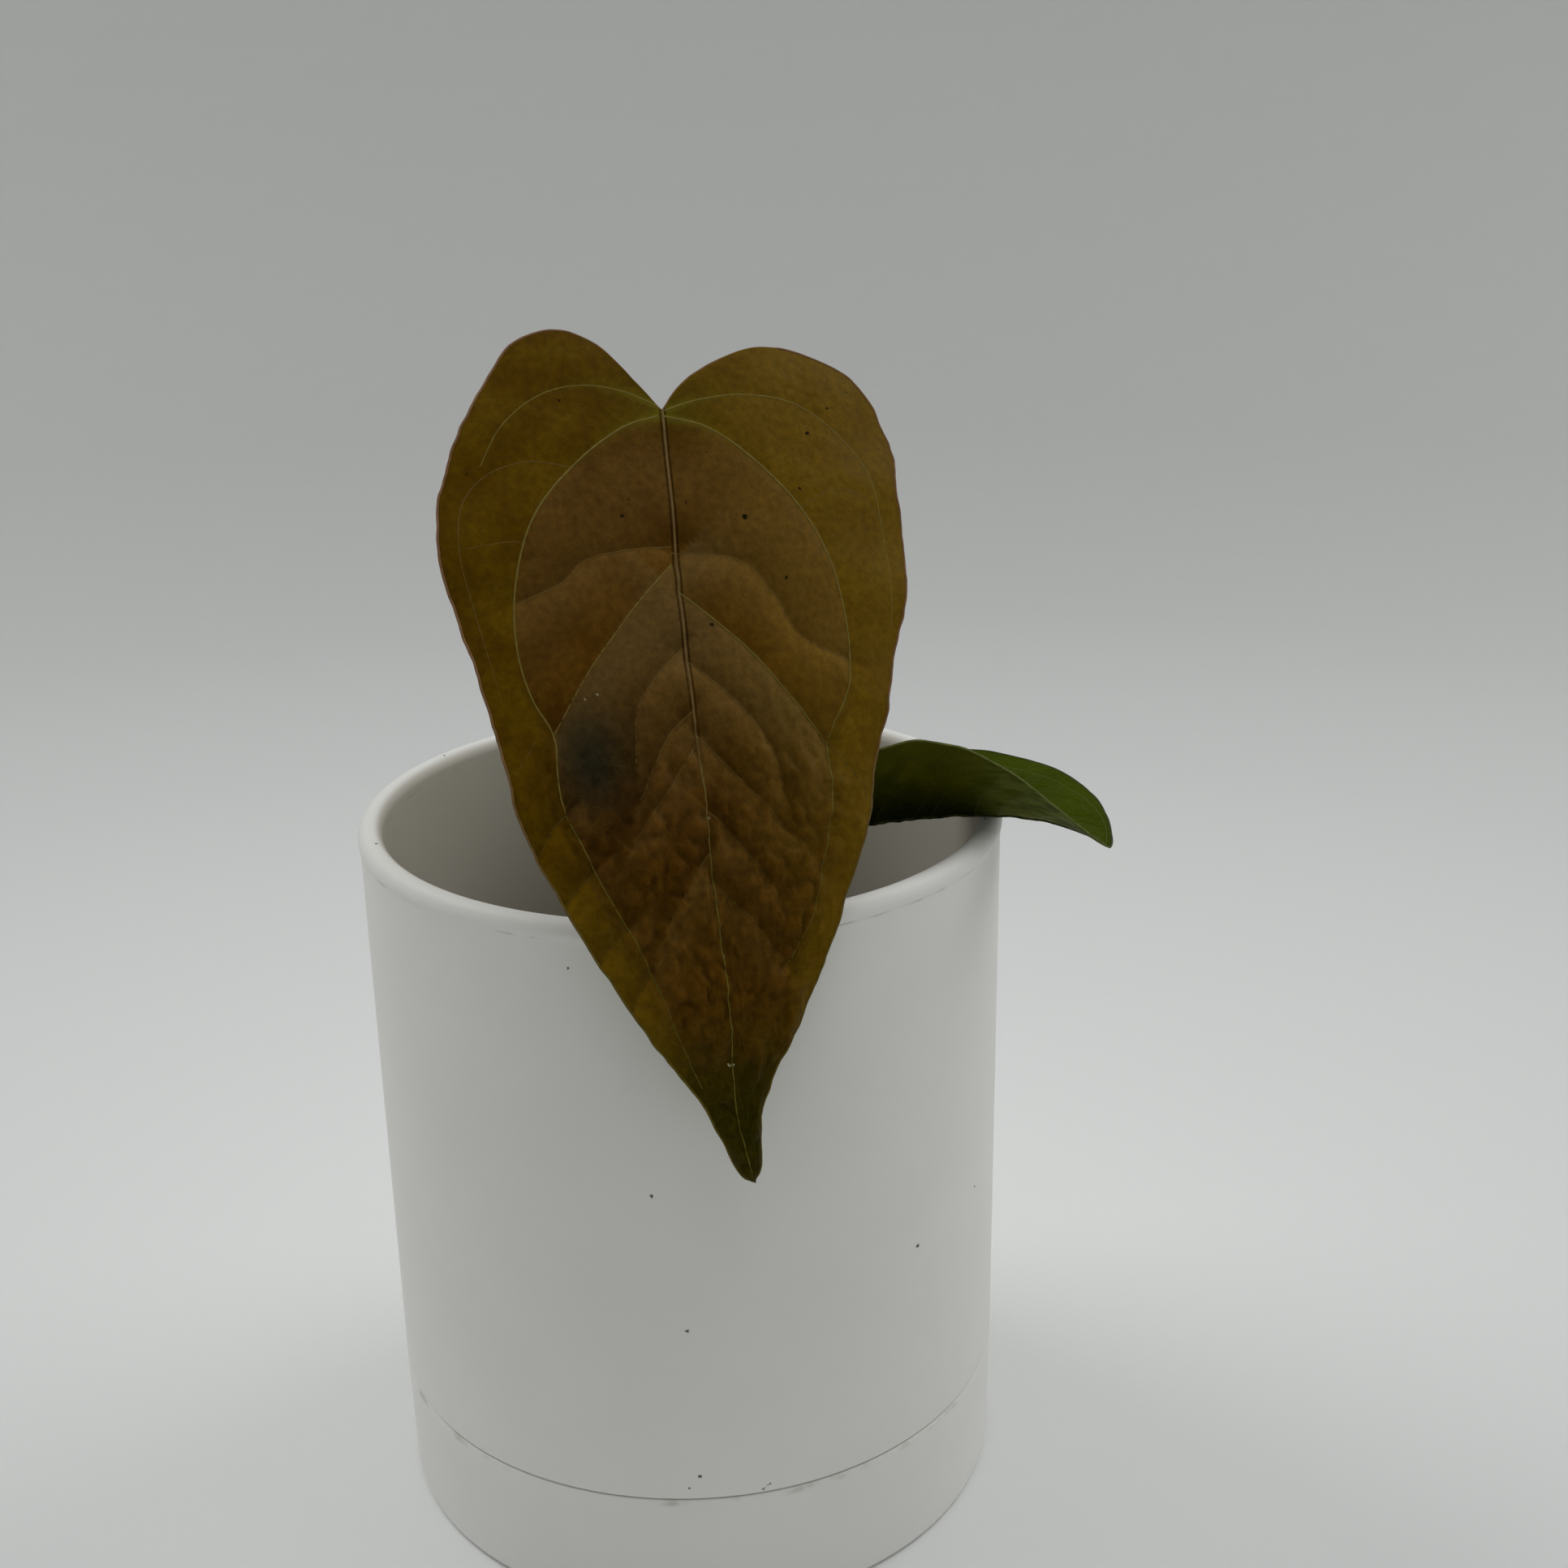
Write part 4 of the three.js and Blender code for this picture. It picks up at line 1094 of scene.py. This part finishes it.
def old_veins():
    """The collective vein inside each margin, and laterals that slant from the midrib out to it."""
    veins = []
    for side, sign in (("left", -1), ("right", 1)):
        edge = smooth_line(OLD_OUTLINES[side], 120)
        body = edge[edge[:, 0] > 2]
        collective = [(1, 0), (-3, 6 * sign), (-2, 12 * sign)]
        for s in range(6, 70, 6):
            width = np.interp(s, body[:, 0], body[:, 1])
            collective.append((s, sign * width * 0.8))
        veins.append(vein([*collective, (71, 0)], 0.2, 0.08))
        for number, s in enumerate(range(5, 60, 6)):
            start = s + 1.6 * math.sin(number * 2.4 + sign)
            out = start + 7 + 0.4 * number + 1.2 * math.sin(number * 4.1)
            width = np.interp(out, body[:, 0], body[:, 1]) * 0.8
            middle = (start + 3.4 + math.sin(number * 1.7), sign * width * 0.5)
            veins.append(vein([(start, 0), middle, (out, sign * width)], 0.18, 0.1))
    return veins


OLD_VEINS = old_veins()
OLD_MIDRIB = midrib(OLD_BLADE, 0, 71, 0.55, 0.16)


def old_relief(s, t, reach):
    """The blade swells gently between the laterals, and its marginal strip is smooth."""
    deep = grooved(s, t, [([OLD_MIDRIB], 0.3, 1.5), (OLD_VEINS, 0.3, 1.6)])
    return (0.14 * blistered(s, t, 5, 44) - deep) * (1 - smoothstep(0.7, 0.95, reach))


def old_fields(s, t, reach):
    """Where each tone of the old leaf lies, from 0 to 1: the marginal strip, the part by the keel, with
    painted shade, the half that is out in the light, with painted light, and a small brown tear."""
    return {
        "strip": smoothstep(0.74, 0.84, reach),
        "keel": 1 - smoothstep(0.1, 0.75, reach),
        "out": smoothstep(38, 62, s),
        "spoilt": np.exp(-((s - 24) / 3) ** 2 - ((t + 26) / 0.9) ** 2),
    }


def old_upper_material():
    """A mature anthurium blade: a deep green waxy skin with a satin gloss."""
    material, tree, place = start_blade_material("Green leaf, upper skin")
    broad = add(tree, "ShaderNodeTexNoise", {"Vector": place, "Scale": 1 / 7, "Detail": 3.0})
    net = netted(tree, place, 2.2)
    colour = coated(
        tree, two_toned(tree, broad, 0.35, 0.65, "#323c00", "#3b4500"),
        # Painted light: the half out past the rim is a lighter green.
        (zone(tree, "out", 0.5), "#3c4a02"),
        (add(tree, "ShaderNodeMath", {0: net, 1: 0.05}, operation="MULTIPLY"), "#6f7f2c"),
    )
    satin = add(tree, "ShaderNodeMapRange", {0: broad, 1: 0.3, 2: 0.7, 3: 0.36, 4: 0.44}, **SOFT)
    end_material(tree, colour, satin, net, 0.05, IOR=1.45, Specular_IOR_Level=0.04,
                 Specular_Tint="#d6e08a")
    return material


def old_under_material():
    """The underside: matte, yellow-green near the margin, with painted light on the tip and near black
    painted shade by the keel.
    """
    material, tree, place = start_blade_material("Green leaf, underside")
    broad = add(tree, "ShaderNodeTexNoise", {"Vector": place, "Scale": 1 / 6, "Detail": 3.0})
    # The painted shade by the keel reaches only over the pot's inside, not the half out past the rim.
    inner = add(tree, "ShaderNodeMapRange", {0: zone(tree, "out"), 1: 0.0, 2: 0.7, 3: 0.9, 4: 0.0}, **SOFT)
    long = add(tree, "ShaderNodeMapping", {"Vector": place, "Scale": (0.12, 0.6, 1)})
    streaks = add(tree, "ShaderNodeTexNoise", {"Vector": long, "Scale": 1.0, "Detail": 3.0})
    net = netted(tree, place, 2.2)
    colour = coated(
        tree, two_toned(tree, broad, 0.35, 0.65, "#3b3c02", "#494803"),
        (zone(tree, "strip", 0.5), "#3e4002"),
        # Painted shade: near black by the keel.
        (add(tree, "ShaderNodeMath", {0: zone(tree, "keel"), 1: inner}, operation="MULTIPLY"), "#161d00"),
        # Painted light: the half out past the rim is paler, in streaks.
        (zone(tree, "out", 0.9), two_toned(tree, streaks, 0.4, 0.6, "#3a4209", "#5b6326")),
        (add(tree, "ShaderNodeMath", {0: net, 1: 0.07}, operation="MULTIPLY"), "#646a24"),
        (zone(tree, "spoilt"), "#2a1408"),
    )
    end_material(tree, colour, 0.6, net, 0.03, IOR=1.4, Specular_IOR_Level=0.08, Specular_Tint="#d6e08a")
    return material


def plain_vein_material(name, tone, other):
    """A vein or margin strand: waxy, with two close tones in short streaks."""
    material, tree, place = start_material(name)
    small = add(tree, "ShaderNodeTexNoise", {"Vector": place, "Scale": 1 / (1.4 * MM), "Detail": 2.0})
    end_material(tree, two_toned(tree, small, 0.35, 0.65, tone, other), 0.5, small, 0.02, IOR=1.42,
                 Specular_IOR_Level=0.25)
    return material


def make_old_leaf():
    upper, under = old_upper_material(), old_under_material()
    body = blade_mesh("leaf_old_blade", OLD_BLADE, 150, 44, old_relief, old_fields, [upper, under], 0.15)
    declare(body, "leaf_old", "leaf_old")
    # Veins a little lighter than the skin above, and as dark as it below.
    pale = plain_vein_material("Green leaf vein", "#45531a", "#4f5c22")
    dark = plain_vein_material("Green leaf vein, underside", "#2f3408", "#3a3f0d")
    # The keel is in the fold's own shade, and the near margin is a pale cartilage line.
    keel = plain_vein_material("Green leaf keel", "#1a1f05", "#3a4014")
    edge = plain_vein_material("Green leaf margin", "#6c7236", "#5c6228")
    make_ribs("leaf_old_veins", OLD_BLADE, body, OLD_VEINS, 1, 0.4, pale, 0.8)
    make_ribs("leaf_old_midrib", OLD_BLADE, body, [OLD_MIDRIB], 1, 0.35, pale, 0.7)
    make_ribs("leaf_old_under_veins", OLD_BLADE, body, OLD_VEINS, -1, 0.4, dark, 0.55)
    keel_line = midrib(OLD_BLADE, 0, 70, 0.6, 0.2)
    make_ribs("leaf_old_keel", OLD_BLADE, body, [keel_line], -1, 1.2, keel, 1, 12)
    near_edge, far_edge = margin_lines(OLD_BLADE)
    make_ribs("leaf_old_pale_margin", OLD_BLADE, body, [near_edge], -1, 0.45, edge, 0.7)
    make_ribs("leaf_old_dark_margin", OLD_BLADE, body, [far_edge], 1, 0.5, dark)


# ---- stems, roots and sheaths -------------------------------------------------------------------

CROWN_LOW, CROWN_HIGH = box_mm("crown_stem")
CROWN_X, CROWN_Y = ((CROWN_LOW + CROWN_HIGH) / 2)[:2]
CROWN_RADIUS = 6.2
MIX_TOP = box_mm("potting_mix")[1][2]


def petiole_end(blade):
    """Where a petiole meets the underside of its blade, and a point straight below that."""
    under = -blade.normal(2.0, 0.0)
    end = blade.surface(2.0, 0.0) + under * 0.1
    return [end + under * 8.2, end]


def make_stem(name, line, radii, sides, skin, lumps):
    """A round stem along a line. lumps gives how much further out each point of its rings is, as a
    share of the radius."""
    path = line_mesh(name + "_path", line, radius=radii * MM)
    build_on(path, RIB_TREE, proud=1.0, sides=sides, skin=skin)
    made = evaluated(path, name)
    rings = np.array([v.co for v in made.data.vertices]).reshape(len(line), sides, 3) / MM
    centre = line[:, None, :]
    for lump in lumps:
        rings += (rings - centre) * lump(rings)[..., None]
    made.data.vertices.foreach_set("co", (rings * MM).ravel())
    return made


def make_petiole(name, node, slot, points, foot, middle, material):
    """A round stalk with a flared foot, a shallow groove and a thicker knee under the blade."""
    line = smooth_line(points, 150)
    share = np.linspace(0, 1, len(line))
    knee = 0.45 * smoothstep(0.88, 0.92, share)
    radii = middle + foot * np.clip(1 - share / 0.12, 0, 1) ** 2 + knee
    turns = np.arange(28) * 2 * math.pi / 28

    def groove(rings):
        return np.tile(-0.16 * np.exp(-((turns - math.pi) / 0.35) ** 2), (len(rings), 1))

    def skin(rings):
        return 0.03 * rough(rings, 1.6, 3).reshape(rings.shape[:2])

    declare(make_stem(name, line, radii, 28, material, [groove, skin]), slot, node)


def make_crown(material):
    """A short thick stem, ringed by the scars of older leaves and cut flat at both ends."""
    share = np.linspace(0, 1, 90)
    height = CROWN_HIGH[2] - CROWN_LOW[2]
    line = np.stack([CROWN_X + 0 * share, CROWN_Y + 0 * share, CROWN_LOW[2] + height * share], 1)
    scars = 0.45 * np.abs(np.cos(share * math.pi * 5)) ** 6
    radii = CROWN_RADIUS * (1 - 0.35 * share ** 3) - 0.2 + scars
    rings = tube(line, radii, 64)
    centre = line[:, None, :]
    lumps = 0.045 * rough(rings, 3.5, 4) + 0.03 * rough(rings, 1.2, 5)
    rings += (rings - centre) * lumps.reshape(rings.shape[:2])[..., None]
    rings[..., 2] = np.clip(rings[..., 2], CROWN_LOW[2], CROWN_HIGH[2])
    declare(make_mesh("crown_knot", *loft(rings), [material]), "crown", "crown_stem")


# Each root: [degrees round the crown, reach, lift above the mix, radius].
ROOTS = [(200, 17, 5, 1.7), (262, 15, 4, 1.5), (318, 19, 5.5, 1.8), (38, 16, 3.5, 1.4), (112, 20, 6, 1.7)]


def make_roots(material):
    """Stout aerial roots that arch out of the crown and dive into the mix."""
    for number, (turn, reach, lift, radius) in enumerate(ROOTS, 1):
        a = math.radians(turn)
        start = CROWN_RADIUS + 0.4 + radius * 0.4
        route = [(start - 3, lift - 0.8), (start, lift), (start + 3, lift + 0.6), (reach, lift * 0.2),
                 (reach + 3, -8), (reach + 2, -20)]
        points = [(CROWN_X + r * math.cos(a), CROWN_Y + r * math.sin(a), MIX_TOP + z) for r, z in route]
        line = smooth_line(points, 90)
        radii = radius * np.linspace(1, 0.65, 90)

        def corky(rings, number=number):
            lumps = 0.08 * rough(rings, 2.6, 10 + number) + 0.05 * rough(rings, 0.9, 20 + number)
            return lumps.reshape(rings.shape[:2])

        name = f"root_{number}"
        declare(make_stem(name + "_skin", line, radii, 24, material, [corky]), "root", name)


# Each sheath: [degrees round, foot below the crown's top, height, radius, half spread, lean x, lean y].
SHEATHS = {
    "sheath_new": (150, 6.5, 30, 6.9, 62, -4, 4.5),
    "sheath_dry": (20, 7, 19, 7.4, 55, 6, 2),
}


def make_sheaths(material):
    """Pointed papery cataphylls, fluted by their dry veins and frayed along the edge."""
    for node, (turn, drop, height, radius, spread, lean_x, lean_y) in SHEATHS.items():
        rows, columns = 60, 40
        share = np.linspace(0, 1, rows + 1)[:, None]
        across = np.linspace(-1, 1, columns + 1)[None, :]
        half = spread * np.sqrt(np.clip(1 - share ** 1.6, 0, 1)) + 2
        a = np.radians(turn + half * across)
        flutes = 0.12 * np.sin(across * 40) * (1 - share)
        flutes = flutes + 0.2 * np.sin(share * 17 + across * 3) * across ** 4
        layers = []
        for layer in (0.4, 0.08):
            r = (radius + layer) * (1 - 0.25 * share) + flutes
            x = CROWN_X + r * np.cos(a) + lean_x * share ** 2
            y = CROWN_Y + r * np.sin(a) + lean_y * share ** 2
            z = CROWN_HIGH[2] - drop + height * share + 0 * a
            layers.append(np.stack([x, y, z], -1))
        rings = np.concatenate([layers[0], layers[1][:, ::-1]], axis=1)
        declare(make_mesh(node + "_paper", *loft(rings), [material]), "sheath", node)


# ---- potting mix --------------------------------------------------------------------------------

MIX_EDGE = WALL_RADIUS - WALL - 0.35
MIX_DOME = 2.5  # how much higher the mix is in the middle


def mix_height(radius):
    return MIX_TOP - MIX_DOME * radius ** 2 / MIX_EDGE ** 2


def make_mix(material):
    """The body of mix: its top is lumpy, and its side and foot follow the inside of the pot."""
    floor = POT_FLOOR + 0.1
    inner = WALL_RADIUS - WALL - 1.1
    profile = [(0, floor), *bend(inner - 6.2, floor + 6.2, 6.2, -90, 0, 5),
               (MIX_EDGE, MIX_TOP - MIX_DOME)]
    profile += [(r, mix_height(r)) for r in MIX_EDGE * np.linspace(0.99, 0, 60)]
    rings = np.array(turned(profile, 160))
    top = np.hypot(rings[..., 0], rings[..., 1]) < MIX_EDGE + 1
    top &= rings[..., 2] > MIX_TOP - MIX_DOME - 0.5
    lumps = 0.9 * rough(rings, 6, 6) + 0.6 * rough(rings, 2.4, 7) + 0.3 * rough(rings, 1.1, 8)
    rings[..., 2] += np.where(top, lumps.reshape(top.shape) - 0.8, 0)
    declare(make_mesh("mix_body", *loft(rings), [material]), "mix", "potting_mix")


def refined(node, name, levels, coarse, fine, seed, material, slot):
    """A finer copy of a packed lump, broken up by noise of two sizes."""
    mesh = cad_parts[node].data.copy()
    work = bmesh.new()
    work.from_mesh(mesh)
    bmesh.ops.remove_doubles(work, verts=work.verts, dist=1e-6)
    work.to_mesh(mesh)
    work.free()
    mesh.materials.clear()
    rough_copy = bpy.data.objects.new(name + "_blank", mesh)
    bpy.context.scene.collection.objects.link(rough_copy)
    divide = rough_copy.modifiers.new("Finer", "SUBSURF")
    divide.subdivision_type = "CATMULL_CLARK"
    divide.levels = divide.render_levels = levels
    made = evaluated(rough_copy, name)
    mesh = made.data
    points = np.array([v.co for v in mesh.vertices]) / MM
    normals = np.array([v.normal for v in mesh.vertices])
    shift = coarse * rough(points, 2.6, seed) + fine * rough(points * (1, 1, 2.5), 0.9, seed + 1)
    points += normals * shift[:, None]
    mesh.vertices.foreach_set("co", (points * MM).ravel())
    mesh.materials.append(material)
    mesh.shade_smooth()
    declare(made, slot, node)


def scatter_tree():
    """Crumbs of one shape strewn over a surface, each turned and sized at random and half sunk."""
    tree, given = start_tree("Strewn crumbs", "Crumbs", ground="Geometry", crumb="Object",
                             per_square_metre="Float", smallest="Float", largest="Float", seed="Int",
                             skin="Material")
    spots = add(tree, "GeometryNodeDistributePointsOnFaces",
                {"Mesh": given["Ground"], "Density": given["Per Square Metre"], "Seed": given["Seed"]})
    crumb = add(tree, "GeometryNodeObjectInfo", {"Object": given["Crumb"], "As Instance": True})
    turn = add(tree, "FunctionNodeRandomValue", {0: (0, 0, 0), 1: (6.28, 6.28, 6.28), "Seed": 3},
               data_type="FLOAT_VECTOR")
    size = add(tree, "FunctionNodeRandomValue", {2: given["Smallest"], 3: given["Largest"], "Seed": 4},
               data_type="FLOAT")
    strewn = add(tree, "GeometryNodeInstanceOnPoints",
                 {"Points": spots, "Instance": crumb.outputs["Geometry"], "Rotation": turn, "Scale": size})
    return end_tree(tree, strewn, given["Skin"])


CRUMB_TREE = scatter_tree()


def make_crumb(name, shape, seed):
    """A lumpy pebble with three half widths in millimetres, to be strewn."""
    work = bmesh.new()
    bmesh.ops.create_icosphere(work, subdivisions=2, radius=1)
    points = np.array([v.co for v in work.verts])
    swell = 1 + 0.35 * rough(points, 0.8, seed)
    for vertex, point, factor in zip(work.verts, points, swell):
        vertex.co = point * factor * shape * MM
    mesh = bpy.data.meshes.new(name)
    work.to_mesh(mesh)
    work.free()
    made = bpy.data.objects.new(name, mesh)
    bpy.context.scene.collection.objects.link(made)
    return made


def ground_disc():
    """The top of the mix inside the wall, for crumbs to lie on."""
    rings = []
    for share in np.linspace(1, 0, 30):
        r = (MIX_EDGE - 2.2) * share
        turns = np.arange(72) * 2 * math.pi / 72
        rings.append(np.stack([r * np.cos(turns), r * np.sin(turns), mix_height(r) + 0 * turns], 1))
    points, faces = loft(rings)
    return points, faces[:-2]


def strew(name, shape, seed, density, sizes, material, slot):
    """Strews crumbs over the mix, at a density for each square metre, between two sizes."""
    crumb = make_crumb(name + "_crumb", shape, seed)
    points, faces = ground_disc()
    ground = make_mesh(name + "_ground", points, faces, [])
    if ground.data.polygons[0].normal.z < 0:
        ground.data.flip_normals()
    build_on(ground, CRUMB_TREE, crumb=crumb, per_square_metre=density, smallest=sizes[0],
             largest=sizes[1], seed=seed, skin=material)
    made = evaluated(ground, name)
    made.data.shade_smooth()
    bpy.data.objects.remove(crumb)
    declare(made, slot)


def make_soil():
    # Damp, crumbly and quite matt: near black in the gaps, brown on the fibres that have dried.
    peat = grown_material("Moist peat and bark fines", "#140d08", "#3b2a1c", 1.4, 0.95, 0.5)
    # Flaky plates: dark outer cork over redder wood, so the layers show as flattened lumps.
    bark = grown_material("Pine bark", "#2c1810", "#7a5234", 2.6, 0.85, 0.35, 0.35)
    # Blown volcanic glass: a chalky off-white froth that never shines.
    perlite = grown_material("Expanded perlite", "#c9c4b8", "#f0ede6", 0.8, 0.9, 0.2)
    # Coconut husk: tan strands, the only light brown in the mix.
    fibre = grown_material("Coir", "#4a2f1b", "#8a6340", 1.5, 0.8, 0.1)
    make_mix(peat)
    for number in range(1, 13):
        node = f"bark_chip_{number:02d}"
        refined(node, node + "_rough", 3, 0.55, 0.3, number, bark, "bark")
    for number in range(1, 9):
        node = f"perlite_grain_{number:02d}"
        refined(node, node + "_rough", 2, 0.3, 0.16, 40 + number, perlite, "perlite")
    strew("mix_fines", (1.3, 0.8, 0.5), 3, 90000, (0.45, 1.3), peat, "mix")
    strew("mix_bark_bits", (2.2, 1.1, 0.6), 5, 24000, (0.5, 1.5), bark, "bark")
    strew("mix_coir_bits", (3.4, 0.22, 0.22), 8, 9000, (0.6, 1.3), fibre, "mix")
    strew("mix_perlite_bits", (1, 0.9, 0.8), 9, 9000, (0.4, 1.2), perlite, "perlite")


# ---- everything ---------------------------------------------------------------------------------

def make_stems():
    # A corky skin with a green cast, dull and cracked round the leaf scars.
    make_crown(grown_material("Corky anthurium stem", "#3c3a1c", "#7d7040", 3, 0.75, 0.3, 0.5))
    # The spongy dead coat of an aerial root: pale, matt and papery.
    make_roots(grown_material("Root velamen", "#8a7350", "#bca983", 2, 0.85, 0.2))
    # Dead leaf tissue, with long fibres that run up it in brown and straw.
    make_sheaths(grown_material("Dry papery sheath", "#6a4524", "#b08a56", 0.9, 0.8, 0.15, 9))
    # Live stalks: smooth and waxy, with fine streaks along them, and bronze like the leaf or green.
    bronze = grown_material("Bronze petiole skin", "#5a3d1c", "#756029", 2.2, 0.45, 0.06, 12)
    green = grown_material("Green petiole skin", "#3f5a1c", "#587428", 2.2, 0.45, 0.06, 12)
    crown_top = CROWN_HIGH[2]
    points = [
        (CROWN_X - 1, CROWN_Y + 1, crown_top - 5), (-3, 9, MIX_TOP + 38), (-5, 11, MIX_TOP + 68),
        (-5, 5, MIX_TOP + 98), (-3.2, -7, MIX_TOP + 122), *petiole_end(NEW_BLADE),
    ]
    make_petiole("petiole_new_stalk", "petiole_new", "petiole_new", points, 1.2, 1.6, bronze)
    points = [
        (CROWN_X + 4, CROWN_Y - 2, crown_top - 8), (6.5, -1, MIX_TOP + 20), (11, -9, MIX_TOP + 35),
        *petiole_end(OLD_BLADE),
    ]
    make_petiole("petiole_old_stalk", "petiole_old", "petiole_old", points, 0.5, 1.5, green)


make_stage()
make_lights()
glaze = glaze_material()
make_pot(glaze)
make_saucer(glaze)
make_soil()
make_stems()
make_new_leaf()
make_old_leaf()
